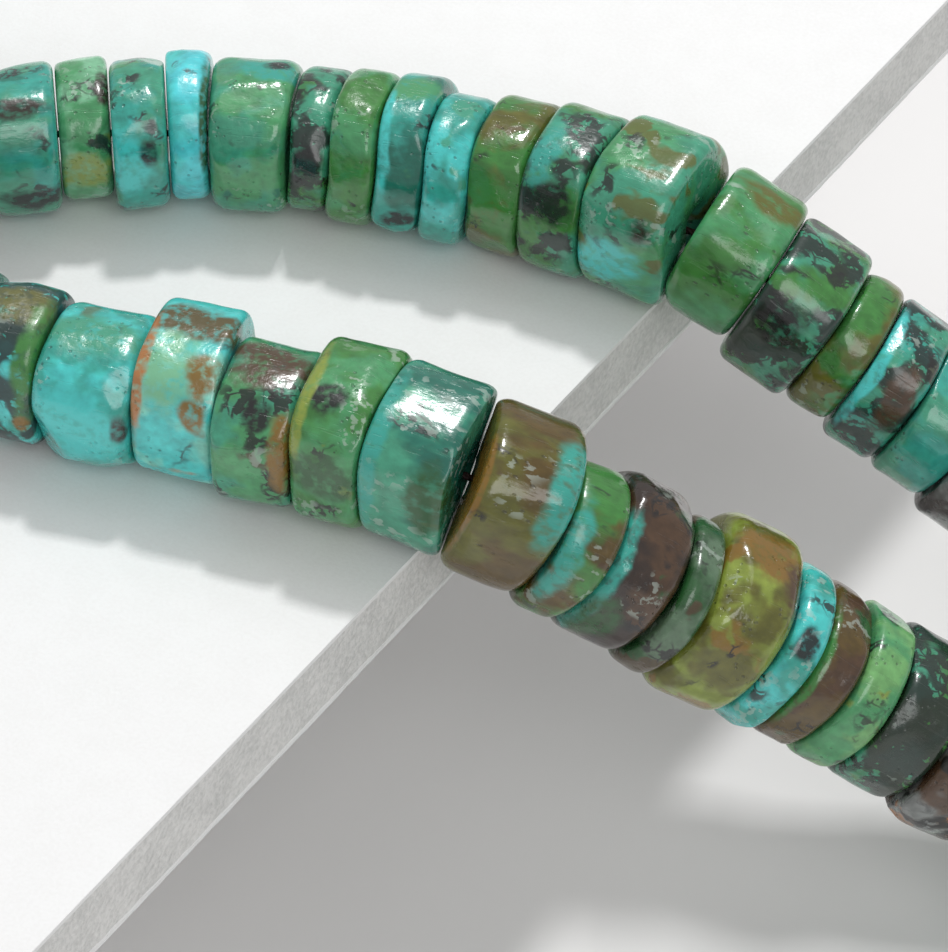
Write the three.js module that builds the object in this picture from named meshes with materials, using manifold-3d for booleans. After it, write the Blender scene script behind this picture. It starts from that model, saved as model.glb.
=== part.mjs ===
// A string of drilled turquoise nuggets, laid over the edge of a raised display board.
// Millimetres, +Z up. The origin is the centre of the board support's underside, on the floor.
// The thread runs once round a closed route: from the clasp along the back strand, over the
// board's edge, round an end loop on the floor, up the front strand and back to the clasp.
import * as THREE from "three";
import { mergeVertices } from "three/addons/utils/BufferGeometryUtils.js";
import Module from "manifold-3d";

const wasm = await Module();
wasm.setup();

// Board and its support
const BOARD_TOP = 30;
const BOARD_THICK = 5;
const BOARD_EDGE_X = 77;
const BOARD_FAR_X = -48;
const BOARD_NEAR_Y = -62;
const BOARD_BACK_Y = 52;
const SUPPORT_LENGTH = 92;
const SUPPORT_WIDTH = 90;
const SUPPORT_GAP = 0.2;

// Thread and beads
const THREAD_RADIUS = 0.25;
const CORE_RADIUS = 0.8;
const BEAD_REST_GAP = 0.2;
const BEAD_SPACING = 0.16;
const BORE_SHARE = 0.16;
const RIM_SHARE = 0.86;
const RIM_ROUND = 0.6;
const BEAD_SIDES = 12;
const RUN_BEAD_SIDES = 8;
const RUN_SHOULDER = 0.87;
const RIM_CONTACT = 0.93;
const WALL_GAP = 0.05;
const MOST_GROWTH = 1.1;
const BEADS_PER_RUN = 10;
const THREAD_SIDES = 6;
const THREAD_STEP = 2.5;
const CORE_SIDES = 4;
const CORE_STEP = 6;
const THREAD_END_GAP = 0.3;

// Barrel clasp
const CLASP_LENGTH = 12;
const CLASP_RADIUS = 2.6;
const CLASP_NECK = 1.2;
const CLASP_NECK_LENGTH = 1.8;
const CLASP_SIDES = 12;
const CLASP_ROOM = 0.8;

// Height of the thread over the board and over the floor: a bead's radius and a little more.
const ON_BOARD = 34.6;
const ON_FLOOR = 4.8;

// The thread's route, point by point, starting at the middle of the clasp.
const ROUTE = [
  // far end of the necklace, on the board
  [-33, -6, ON_BOARD], [-31, 7, ON_BOARD], [-23.5, 16, ON_BOARD], [-12, 18.5, ON_BOARD],
  [-1, 14, ON_BOARD], [8, 6.5, ON_BOARD], [18, 0, ON_BOARD], [28.5, -4.5, ON_BOARD],
  // back strand, on the board
  [37, -4.6, ON_BOARD], [44, 0, ON_BOARD], [52, 5.2, ON_BOARD], [60.5, 8.4, ON_BOARD],
  [68.5, 10.8, ON_BOARD], [74, 11.9, ON_BOARD],
  // back strand, over the edge and down
  [78, 12.4, ON_BOARD], [82.2, 13, 33.1], [86.5, 13.7, 30.4], [91, 14.4, 27.7], [96, 15.4, 24.5],
  [103, 17.2, 19.2], [110, 19.6, 13.4], [118, 22.8, 8.2], [127, 25.8, 5.4], [136, 27.4, ON_FLOOR],
  // end loop, on the floor
  [146, 25.5, ON_FLOOR], [152.5, 18.5, ON_FLOOR], [153, 9, ON_FLOOR], [147, 1.5, ON_FLOOR],
  [138, -2, ON_FLOOR], [129.5, -1.5, 5.2], [122, 0.2, 6.8],
  // front strand, up to the edge
  [114.5, 2.2, 9.8], [107.5, 2.4, 13.9], [101.5, -0.1, 17.9], [95.5, -3.1, 22.4],
  [89.5, -6.2, 26.8], [84.5, -8.8, 30.7], [80.5, -10.9, 33.7], [76, -12.2, ON_BOARD],
  // front strand, on the board
  [68, -14, ON_BOARD], [58, -17.2, ON_BOARD], [48.5, -19.6, ON_BOARD], [38, -22.5, ON_BOARD],
  [28, -25, ON_BOARD], [17, -27.5, ON_BOARD], [6, -29.5, ON_BOARD], [-6, -30.5, ON_BOARD],
  [-17, -28, ON_BOARD], [-26.5, -22, ON_BOARD], [-32, -14, ON_BOARD],
];
const ROUTE_SAMPLES = 4000;

// Where each strand bends over the edge, and the gap that opens between its beads there.
const BACK_BEND_X = 77.6;
const FRONT_BEND_X = 78;

// The beads that are pieces of their own, in order outwards from the board's middle.
// thick, wide, tall: the nugget's length on the thread, its width and its height
// side: how far its centre stands off the thread, towards +Y
// yaw, pitch: degrees that it sits askew on the thread, turned aside and tipped up
// square: 2 for an oval outline, 3 for one with flattened sides
// spare: slack on the thread, on the side towards the bend
const BEAD_COLUMNS = ["thick", "wide", "tall", "side", "yaw", "pitch", "square", "spare"];
const FRONT_ON_BOARD = [
  [4.0, 8.8, 9.2, 0.6, 0, 0, 2.2, 0],
  [4.2, 8.8, 9.0, 0.1, 3, 0, 2.2, 0],
  [5.5, 8.8, 8.8, -0.1, 2, 0, 2.4, 0],
  [4.7, 9.2, 9.5, 0.8, 0, 0, 3.0, 0],
  [4.4, 8.8, 8.9, -0.4, 2, 0, 2.6, 0],
  [3.9, 9.5, 9.8, 0.1, 0, 0, 2.8, 0],
  [3.8, 9.4, 9.7, 0.0, -3, 0, 2.8, 0.3],
];
const FRONT_HANGING = [
  [3.3, 9.7, 9.9, -0.1, 3, 4, 2.4, 0.1],
  [2.1, 9.2, 9.4, -0.8, 2, 2, 2.2, 0.2],
  [4.1, 10.0, 10.0, -0.2, 1, 1, 2.2, 0],
  [1.9, 9.6, 9.6, -0.6, 0, 0, 2.2, 0],
  [4.8, 11.2, 11.0, 0.2, -1, 0, 2.2, 0],
  [2.1, 9.8, 10.2, -0.2, -2, 0, 2.2, 0],
  [2.6, 9.6, 9.6, 0.0, -2, 0, 2.3, 0],
  [2.6, 10.0, 10.0, 0.1, -2, 0, 2.2, 0],
  [3.7, 9.8, 10.0, 0.3, -1, 0, 2.3, 0],
  [4.2, 9.0, 9.0, -0.9, 0, 0, 2.3, 0.15],
  [3.0, 9.2, 9.2, 0.1, 0, 0, 2.3, 0],
  [3.6, 8.8, 9.0, -0.2, 0, 0, 2.5, 0],
  [2.4, 9.2, 9.2, 0.2, 0, 0, 2.2, 0],
];
const BACK_ON_BOARD = [
  [2.8, 8.8, 9.0, 0.0, 8, 0, 2.2, 0],
  [3.1, 8.8, 9.2, -0.5, 5, 0, 2.3, 0],
  [2.9, 8.6, 8.6, 0.6, 3, 0, 2.3, 0],
  [3.1, 8.8, 9.2, -0.3, 5, 0, 2.3, 0],
  [2.1, 9.0, 9.4, 0.4, 3, 0, 2.2, 0],
  [4.4, 8.8, 9.0, 0.0, 1, 0, 2.6, 0],
  [2.3, 8.8, 8.8, 0.2, 0, 0, 2.2, 0],
  [2.7, 9.0, 9.4, -0.2, 0, 0, 2.3, 0],
  [2.8, 9.4, 9.6, 0.1, 0, 0, 2.2, 0],
  [2.5, 9.0, 9.2, -0.4, 0, 0, 2.3, 0],
  [3.2, 9.0, 9.2, 0.2, -4, 0, 2.5, 0],
  [3.7, 9.4, 9.6, 0.0, -5, 0, 2.5, 0],
  [4.4, 9.6, 10.0, 0.0, -4, 0, 2.8, 0.3],
];
const BACK_HANGING = [
  [3.3, 9.2, 9.2, 0.3, 0, 3, 2.4, 0.3],
  [4.1, 9.2, 9.6, -0.2, 1, 5, 2.7, 0],
  [2.5, 8.8, 9.0, 0.1, 2, 6, 2.3, 0],
  [3.2, 9.2, 9.6, 0.1, 3, 6, 2.3, 0],
  [3.3, 9.2, 9.2, 0.0, 2, 4, 2.3, 0],
  [3.2, 9.0, 9.0, -0.5, 0, 2, 2.3, 0],
  [2.8, 9.2, 9.2, 0.2, 0, 0, 2.3, 0],
];

// Typical nuggets, strung over and over along the rest of the thread: thick, wide, tall, square.
const COMMON_COLUMNS = ["thick", "wide", "tall", "square"];
const COMMON_NUGGETS = [
  [3.4, 9.0, 9.2, 2.4],
  [2.6, 9.2, 9.0, 2.2],
  [4.4, 8.8, 8.8, 2.8],
  [3.0, 9.4, 9.2, 2.2],
  [2.2, 9.0, 9.4, 2.3],
  [3.8, 9.2, 9.0, 2.6],
  [3.2, 8.6, 8.8, 2.3],
  [4.8, 9.0, 9.2, 2.6],
  [2.4, 9.4, 9.4, 2.2],
  [3.6, 8.8, 9.0, 2.4],
  [2.8, 9.2, 9.2, 2.3],
];

const STONES = [0x3fa898, 0x2f8a74, 0x4c9a68, 0x6a7038, 0x58503a, 0x47b9b2];
const stone = (index) =>
  new THREE.MeshStandardMaterial({ color: STONES[index % STONES.length], roughness: 0.25, metalness: 0 });
const threadFinish = new THREE.MeshStandardMaterial({ color: 0x3a2018, roughness: 0.8, metalness: 0 });
const claspFinish = new THREE.MeshStandardMaterial({ color: 0xb9b7b0, roughness: 0.3, metalness: 1 });
const boardFinish = new THREE.MeshStandardMaterial({ color: 0xeeeeec, roughness: 0.9, metalness: 0 });
const supportFinish = new THREE.MeshStandardMaterial({ color: 0xe4e3e0, roughness: 0.8, metalness: 0 });

const group = new THREE.Group();

function add(name, geometry, material) {
  const mesh = new THREE.Mesh(geometry, material);
  mesh.name = name;
  group.add(mesh);
  return mesh;
}

function withColumns(columns, rows) {
  return rows.map((row) => Object.fromEntries(columns.map((column, index) => [column, row[index]])));
}

// ---- The thread's route, measured along its length ----

const curve = new THREE.CatmullRomCurve3(
  ROUTE.map(([x, y, z]) => new THREE.Vector3(x, y, z)), true, "catmullrom", 0.5,
);
const samples = Array.from({ length: ROUTE_SAMPLES + 1 }, (_, i) => curve.getPoint(i / ROUTE_SAMPLES));
const arcs = [0];
for (let i = 1; i < samples.length; i += 1) {
  arcs.push(arcs[i - 1] + samples[i].distanceTo(samples[i - 1]));
}
const THREAD_LENGTH = arcs[ROUTE_SAMPLES];

function pointAt(arc) {
  const wanted = ((arc % THREAD_LENGTH) + THREAD_LENGTH) % THREAD_LENGTH;
  let low = 0;
  let high = ROUTE_SAMPLES;
  while (high - low > 1) {
    const middle = (low + high) >> 1;
    if (arcs[middle] <= wanted) low = middle;
    else high = middle;
  }
  return samples[low].clone().lerp(samples[high], (wanted - arcs[low]) / (arcs[high] - arcs[low]));
}

function directionAt(arc) {
  const reach = 1;
  return pointAt(arc + reach).sub(pointAt(arc - reach)).normalize();
}

// The arc length at which the route first passes x, from one arc length up to another.
function arcWhere(x, from, to) {
  const step = (to - from) / ROUTE_SAMPLES;
  for (let arc = from; arc < to; arc += step) {
    if ((pointAt(arc).x - x) * (pointAt(arc + step).x - x) <= 0) return arc;
  }
  return to;
}

class Stretch extends THREE.Curve {
  constructor(from, to) {
    super();
    this.from = from;
    this.to = to;
  }

  getPoint(share) {
    return pointAt(this.from + share * (this.to - this.from));
  }
}

// ---- Where each bead sits ----

// A bead's axes on the thread: along it away from the board, aside towards +Y, and up.
function placeBead(bead, arc, outwards) {
  const along = directionAt(arc).multiplyScalar(outwards);
  const up = new THREE.Vector3(0, 0, 1).addScaledVector(along, -along.z).normalize();
  const aside = new THREE.Vector3().crossVectors(up, along);
  const yaw = THREE.MathUtils.degToRad(bead.yaw ?? 0);
  const pitch = THREE.MathUtils.degToRad(bead.pitch ?? 0);
  const turned = along.clone().multiplyScalar(Math.cos(yaw)).addScaledVector(aside, Math.sin(yaw));
  const axis = turned.multiplyScalar(Math.cos(pitch)).addScaledVector(up, Math.sin(pitch)).normalize();
  const top = up.clone().addScaledVector(axis, -up.dot(axis)).normalize();
  const beside = new THREE.Vector3().crossVectors(top, axis);
  const thread = pointAt(arc);
  const centre = thread.clone().addScaledVector(aside, bead.side ?? 0);
  const half = bead.tall / 2 + BEAD_REST_GAP;
  if (thread.x < BOARD_EDGE_X && thread.z > ON_BOARD - 0.5) centre.z = BOARD_TOP + half;
  else centre.z = Math.max(centre.z, half);
  const frame = new THREE.Matrix4().makeBasis(axis, beside, top).setPosition(centre);
  return { bead, arc, frame, bore: thread.clone().applyMatrix4(frame.clone().invert()), walls: new Map() };
}

function axisOf(item) {
  return new THREE.Vector3().setFromMatrixColumn(item.frame, 0);
}

// How far apart two neighbours that sit at an angle hold each other, rim against rim.
function rimClearance(item, neighbour) {
  if (!neighbour) return 0;
  const reach = (RIM_CONTACT * Math.max(item.bead.tall, neighbour.bead.tall)) / 2;
  return reach * Math.sin(axisOf(item).angleTo(axisOf(neighbour)));
}

// Strings a row of beads outwards from one arc length, and gives the arc where the row ends.
function stringBeads(beads, from, step, outwards, neighbour) {
  let arc = from;
  let last = neighbour;
  const placed = beads.map((bead) => {
    arc += step * (BEAD_SPACING / 2 + (bead.spare ?? 0) + bead.thick / 2);
    arc += step * rimClearance(placeBead(bead, arc, outwards), last);
    last = placeBead(bead, arc, outwards);
    arc += step * (bead.thick / 2 + BEAD_SPACING / 2);
    return last;
  });
  return { placed, last, end: arc };
}

// Gives each pair of neighbours the wall between them, which the faces of both are ground to fit.
function nest(loop) {
  for (let i = 0; i + 1 < loop.length; i += 1) {
    const [one, other] = [loop[i], loop[i + 1]];
    const [here, there] = [one, other].map((item) => new THREE.Vector3().setFromMatrixPosition(item.frame));
    const way = there.clone().sub(here).normalize();
    const [first, second] = [one, other].map((item) => Math.sign(axisOf(item).dot(way)));
    here.addScaledVector(axisOf(one), (first * one.bead.thick) / 2);
    there.addScaledVector(axisOf(other), (-second * other.bead.thick) / 2);
    const middle = here.add(there).multiplyScalar(0.5);
    const normal = axisOf(one).multiplyScalar(first).addScaledVector(axisOf(other), second).normalize();
    one.walls.set(first, { middle, normal });
    other.walls.set(-second, { middle, normal });
  }
}

// Where a point of a bead lies along it once its faces are ground to its neighbours'.
function fitAlong({ bead, frame, walls }, x, y, z) {
  const sense = x > 0 ? 1 : -1;
  if (!walls.has(sense)) return x;
  const back = frame.clone().invert();
  const middle = walls.get(sense).middle.clone().applyMatrix4(back);
  const normal = walls.get(sense).normal.clone().transformDirection(back);
  const wall = middle.x - (normal.y * (y - middle.y) + normal.z * (z - middle.z)) / normal.x;
  const half = bead.thick / 2;
  const extra = Math.min(MOST_GROWTH, Math.max(-0.1 * half, sense * wall - WALL_GAP - half));
  return (x * (half + extra)) / half;
}

// ---- Bead shapes ----

function outline({ wide, tall, square }, angle) {
  const across = Math.abs(Math.cos(angle)) / (wide / 2);
  const upright = Math.abs(Math.sin(angle)) / (tall / 2);
  return (across ** square + upright ** square) ** (-1 / square);
}

// Spreads a lathed shape of unit radius to the nugget's outline, with its axis along X.
function shapeNugget(profile, sides, item) {
  const { bead, frame, bore } = item;
  const lathe = new THREE.LatheGeometry(profile.map(([r, y]) => new THREE.Vector2(r, y)), sides);
  lathe.deleteAttribute("normal");
  lathe.deleteAttribute("uv");
  const solid = mergeVertices(lathe, 1e-5);
  const position = solid.attributes.position;
  for (let i = 0; i < position.count; i += 1) {
    const radius = Math.hypot(position.getX(i), position.getZ(i));
    const angle = Math.atan2(position.getX(i), position.getZ(i));
    const reach = radius * outline(bead, angle);
    const inBore = radius > 0 && radius < 2 * BORE_SHARE;
    const y = reach * Math.cos(angle) + (inBore ? bore.y : 0);
    const z = reach * Math.sin(angle) + (inBore ? bore.z : 0);
    position.setXYZ(i, fitAlong(item, position.getY(i), y, z), y, z);
  }
  return solid.applyMatrix4(frame);
}

function drilledNugget(item) {
  const half = item.bead.thick / 2;
  const round = Math.min(RIM_ROUND, half / 2);
  const profile = [
    [BORE_SHARE, half], [BORE_SHARE, -half], [RIM_SHARE, -half],
    [1, round - half], [1, half - round], [RIM_SHARE, half], [BORE_SHARE, half],
  ];
  return shapeNugget(profile, BEAD_SIDES, item);
}

function plainNugget(item) {
  const half = item.bead.thick / 2;
  const profile = [[0, -half], [RUN_SHOULDER, -half], [1, 0], [RUN_SHOULDER, half], [0, half]];
  return shapeNugget(profile, RUN_BEAD_SIDES, item);
}

function threadSolid(from, to, radius, sides, step) {
  const section = new THREE.Shape(
    Array.from({ length: sides }, (_, i) => {
      const angle = (2 * Math.PI * i) / sides;
      return new THREE.Vector2(radius * Math.cos(angle), radius * Math.sin(angle));
    }),
  );
  const solid = new THREE.ExtrudeGeometry(section, {
    steps: Math.ceil(Math.abs(to - from) / step),
    extrudePath: new Stretch(from, to),
  });
  solid.deleteAttribute("normal");
  solid.deleteAttribute("uv");
  return mergeVertices(solid, 1e-5);
}

function toManifold(geometry) {
  return new wasm.Manifold(new wasm.Mesh({
    numProp: 3,
    vertProperties: new Float32Array(geometry.attributes.position.array),
    triVerts: new Uint32Array(geometry.index.array),
  }));
}

function fromManifold(manifold) {
  const { vertProperties, triVerts } = manifold.getMesh();
  const geometry = new THREE.BufferGeometry();
  geometry.setAttribute("position", new THREE.BufferAttribute(vertProperties, 3));
  geometry.setIndex(new THREE.BufferAttribute(triVerts, 1));
  return geometry;
}

// ---- The visible stretches: every bead a piece of its own ----

const halfWay = THREAD_LENGTH / 2;
const backBend = arcWhere(BACK_BEND_X, 0, halfWay);
const frontBend = arcWhere(FRONT_BEND_X, halfWay, THREAD_LENGTH);

// A strand is strung both ways from its bend.
function stringStrand(bend, step, onBoard, hanging) {
  const inner = stringBeads(withColumns(BEAD_COLUMNS, onBoard).reverse(), bend, -step, step);
  const outer = stringBeads(withColumns(BEAD_COLUMNS, hanging), bend, step, step, inner.placed[0]);
  return { inner, outer, placed: [...[...inner.placed].reverse(), ...outer.placed] };
}

const back = stringStrand(backBend, 1, BACK_ON_BOARD, BACK_HANGING);
const front = stringStrand(frontBend, -1, FRONT_ON_BOARD, FRONT_HANGING);

// Its beads are numbered outwards along it.
function addStrand(strand, { placed }) {
  placed.forEach((item, index) => {
    const number = String(index + 1).padStart(2, "0");
    add(`bead_${strand}_${number}`, drilledNugget(item), stone(index));
  });
}

// ---- The rest of the string: runs of nuggets joined along their thread ----

// Picks common nuggets in turn until a stretch is full, and spreads what is left between them.
function fillStretch(from, to, before, after) {
  const common = withColumns(COMMON_COLUMNS, COMMON_NUGGETS);
  const strung = (beads) => stringBeads(beads, from, 1, 1, before);
  const endOf = ({ last, end }) => end + (last ? rimClearance(last, after) : 0);
  let beads = [];
  let next = [common[0]];
  while (endOf(strung(next)) < to) {
    beads = next;
    next = [...beads, common[beads.length % common.length]];
  }
  const spare = (to - endOf(strung(beads))) / beads.length;
  return strung(beads.map((bead) => ({ ...bead, spare }))).placed;
}

let runNumber = 0;

function addRuns(placed) {
  const runs = Math.ceil(placed.length / BEADS_PER_RUN);
  for (let run = 0; run < runs; run += 1) {
    const items = placed.slice(
      Math.round((run * placed.length) / runs), Math.round(((run + 1) * placed.length) / runs),
    );
    const first = items[0];
    const last = items[items.length - 1];
    const core = threadSolid(
      first.arc - first.bead.thick / 4, last.arc + last.bead.thick / 4, CORE_RADIUS, CORE_SIDES, CORE_STEP,
    );
    const joined = items.reduce((sum, item) => sum.add(toManifold(plainNugget(item))), toManifold(core));
    runNumber += 1;
    add(`bead_run_${runNumber}`, fromManifold(joined), stone(runNumber));
  }
}

const claspHalf = CLASP_LENGTH / 2 + CLASP_ROOM;
const stretches = [
  fillStretch(claspHalf, back.inner.end, undefined, back.inner.last),
  fillStretch(back.outer.end, front.outer.end, back.outer.last, front.outer.last),
  fillStretch(front.inner.end, THREAD_LENGTH - claspHalf, front.inner.last, undefined),
];
nest([...back.placed, ...front.placed, ...stretches.flat()].sort((a, b) => a.arc - b.arc));
addStrand("back", back);
addStrand("front", front);
function addThread(name, from, to) {
  const solid = threadSolid(
    from + THREAD_END_GAP, to - THREAD_END_GAP, THREAD_RADIUS, THREAD_SIDES, THREAD_STEP,
  );
  add(name, solid, threadFinish);
}

addThread("thread_back", back.inner.end, back.outer.end);
addThread("thread_front", front.outer.end, front.inner.end);

stretches.forEach(addRuns);

// ---- Clasp, board and support ----

function addClasp() {
  const half = CLASP_LENGTH / 2 - THREAD_END_GAP;
  const body = half - CLASP_NECK_LENGTH;
  const profile = [[0, -half], [CLASP_NECK, -half], [CLASP_NECK, -body], [CLASP_RADIUS, CLASP_NECK - body],
    [CLASP_RADIUS, body - CLASP_NECK], [CLASP_NECK, body], [CLASP_NECK, half], [0, half]];
  const lathe = new THREE.LatheGeometry(profile.map(([r, y]) => new THREE.Vector2(r, y)), CLASP_SIDES);
  const clasp = add("clasp", lathe, claspFinish);
  clasp.position.copy(pointAt(0)).setZ(BOARD_TOP + CLASP_RADIUS + BEAD_REST_GAP);
  clasp.quaternion.setFromUnitVectors(new THREE.Vector3(0, 1, 0), directionAt(0));
}

function addBlock(name, [lowX, highX], [lowY, highY], [lowZ, highZ], material) {
  const block = add(name, new THREE.BoxGeometry(highX - lowX, highY - lowY, highZ - lowZ), material);
  block.position.set((lowX + highX) / 2, (lowY + highY) / 2, (lowZ + highZ) / 2);
}

addClasp();
addBlock(
  "display_board", [BOARD_FAR_X, BOARD_EDGE_X], [BOARD_NEAR_Y, BOARD_BACK_Y],
  [BOARD_TOP - BOARD_THICK, BOARD_TOP], boardFinish,
);
addBlock(
  "board_support", [-SUPPORT_LENGTH / 2, SUPPORT_LENGTH / 2], [-SUPPORT_WIDTH / 2, SUPPORT_WIDTH / 2],
  [0, BOARD_TOP - BOARD_THICK - SUPPORT_GAP], supportFinish,
);

export default group;
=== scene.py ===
"""A string of drilled turquoise nuggets, laid over the edge of a raised display board."""
import logging
import math
import random
from dataclasses import dataclass, field, replace
from enum import Enum

import bpy
from mathutils import Matrix, Vector, noise


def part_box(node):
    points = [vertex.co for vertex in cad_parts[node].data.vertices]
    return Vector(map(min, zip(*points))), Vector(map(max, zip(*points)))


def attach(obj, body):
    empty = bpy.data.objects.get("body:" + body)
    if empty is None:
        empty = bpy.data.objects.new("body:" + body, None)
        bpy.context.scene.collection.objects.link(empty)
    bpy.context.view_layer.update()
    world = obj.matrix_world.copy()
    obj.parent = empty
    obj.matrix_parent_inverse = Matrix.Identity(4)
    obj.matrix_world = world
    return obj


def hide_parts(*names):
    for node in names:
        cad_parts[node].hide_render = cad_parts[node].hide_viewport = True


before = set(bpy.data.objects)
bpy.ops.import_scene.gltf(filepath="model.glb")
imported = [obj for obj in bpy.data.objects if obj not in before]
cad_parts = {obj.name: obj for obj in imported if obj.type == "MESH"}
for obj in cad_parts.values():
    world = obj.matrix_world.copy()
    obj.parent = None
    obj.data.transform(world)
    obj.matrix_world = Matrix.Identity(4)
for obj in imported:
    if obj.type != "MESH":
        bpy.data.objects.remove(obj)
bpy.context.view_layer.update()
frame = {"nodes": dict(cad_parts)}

log = logging.getLogger("necklace")

MM = 0.001

# Heights and places shared by the board and the string, in metres
BOARD_TOP = 0.030
BOARD_EDGE_X = 0.077
ON_BOARD = 0.0346
ON_FLOOR = 0.0048

FLOOR_RADIUS = 2.5
FLOOR_SIDES = 48

Triple = tuple[float, float, float]


class Hue(Enum):
    """The colours that the stones, the thread and the board are made of, as sRGB bytes."""

    TURQUOISE = (72, 200, 196)
    SKY = (84, 208, 216)
    PALE_TURQUOISE = (128, 208, 190)
    TEAL = (54, 160, 146)
    SEA = (66, 152, 122)
    DEEP_TEAL = (28, 108, 92)
    PALE_JADE = (122, 186, 146)
    JADE = (74, 150, 98)
    GREEN = (62, 126, 58)
    DEEP_GREEN = (38, 84, 44)
    PALE_GREEN = (112, 170, 104)
    LIME = (134, 150, 62)
    GREY_GREEN = (88, 116, 90)
    OLIVE = (96, 96, 36)
    OLIVE_BROWN = (88, 70, 28)
    GOLD = (128, 96, 34)
    RUST = (176, 116, 66)
    BROWN = (78, 56, 38)
    DARK_BROWN = (48, 36, 30)
    BLACK = (26, 26, 28)
    GREY = (130, 134, 132)
    CHALK = (176, 190, 180)
    THREAD = (58, 30, 22)
    STEEL = (186, 184, 178)
    PAPER = (238, 238, 238)
    FOAM = (226, 225, 223)
    SHADE = (222, 221, 219)

    @property
    def linear(self) -> tuple[float, float, float, float]:
        """Gives the colour as linear light with full alpha."""
        parts = [(c / 255 + 0.055) / 1.055 if c > 10 else c / 255 / 12.92 for c in self.value]
        return (*(p**2.4 for p in parts), 1.0)


@dataclass(frozen=True)
class Zone:
    """A patch of another colour on a stone.

    Places and reaches are in shares of the bead's half sizes. along runs from -1, the end
    towards the board's middle, to 1, and rise from -1 to 1 up the side that faces forward.
    """

    hue: Hue
    along: float
    rise: float
    reach_along: float
    reach_rise: float
    soft: float = 0.3

    @property
    def place(self) -> Vector:
        """Gives the middle of the patch on the bead, in shares of its half sizes."""
        facing = math.sqrt(max(0.0, 1 - min(1.0, abs(self.rise)) ** 2))
        slant = math.sqrt(0.5)
        return Vector((self.along, slant * (self.rise - facing), slant * (self.rise + facing)))

    @property
    def reach(self) -> Vector:
        """Gives how far the patch reaches along the bead and round it."""
        return Vector((self.reach_along, self.reach_rise, self.reach_rise))


@dataclass(frozen=True)
class Stone:
    """The colours and blemishes of one nugget."""

    body: Hue
    second: Hue
    patch: Hue = Hue.OLIVE
    patches: float = 0.2
    matrix: float = 0.1
    chalk: float = 0.35
    gloss: float = 0.2
    zones: tuple[Zone, ...] = ()


@dataclass(frozen=True)
class Cut:
    """A ground facet: its outward direction, and how deep it cuts in, as a share of the radius."""

    direction: Triple
    depth: float


@dataclass(frozen=True)
class Nugget:
    """One drilled bead: its size, how it sits on the thread, its form and its stone."""

    thick: float
    wide: float
    tall: float
    side: float = 0.0
    yaw: float = 0.0
    pitch: float = 0.0
    square: float = 2.3
    spare: float = 0.0
    wave: float = 0.0
    rim: float = 0.0008
    stone: Stone = Stone(Hue.SEA, Hue.JADE)
    cuts: tuple[Cut, ...] = ()

    def outline(self, angle: float) -> float:
        """Gives the distance from the middle to the outline.

        Args:
            angle: The direction round the bead, from its side to its top, in radians.

        Returns:
            The distance in metres.
        """
        across = abs(math.cos(angle)) / (self.wide / 2)
        upright = abs(math.sin(angle)) / (self.tall / 2)
        return (across**self.square + upright**self.square) ** (-1 / self.square)


@dataclass
class Placed:
    """A bead where it sits: its arc length on the thread, and its frame."""

    bead: Nugget
    arc: float
    frame: Matrix
    bore: Vector
    walls: dict[int, tuple[Vector, Vector]] = field(default_factory=dict)

    @property
    def axis(self) -> Vector:
        """Gives the bead's axis in the row's frame."""
        return self.frame.to_3x3() @ Vector((1, 0, 0))


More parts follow.
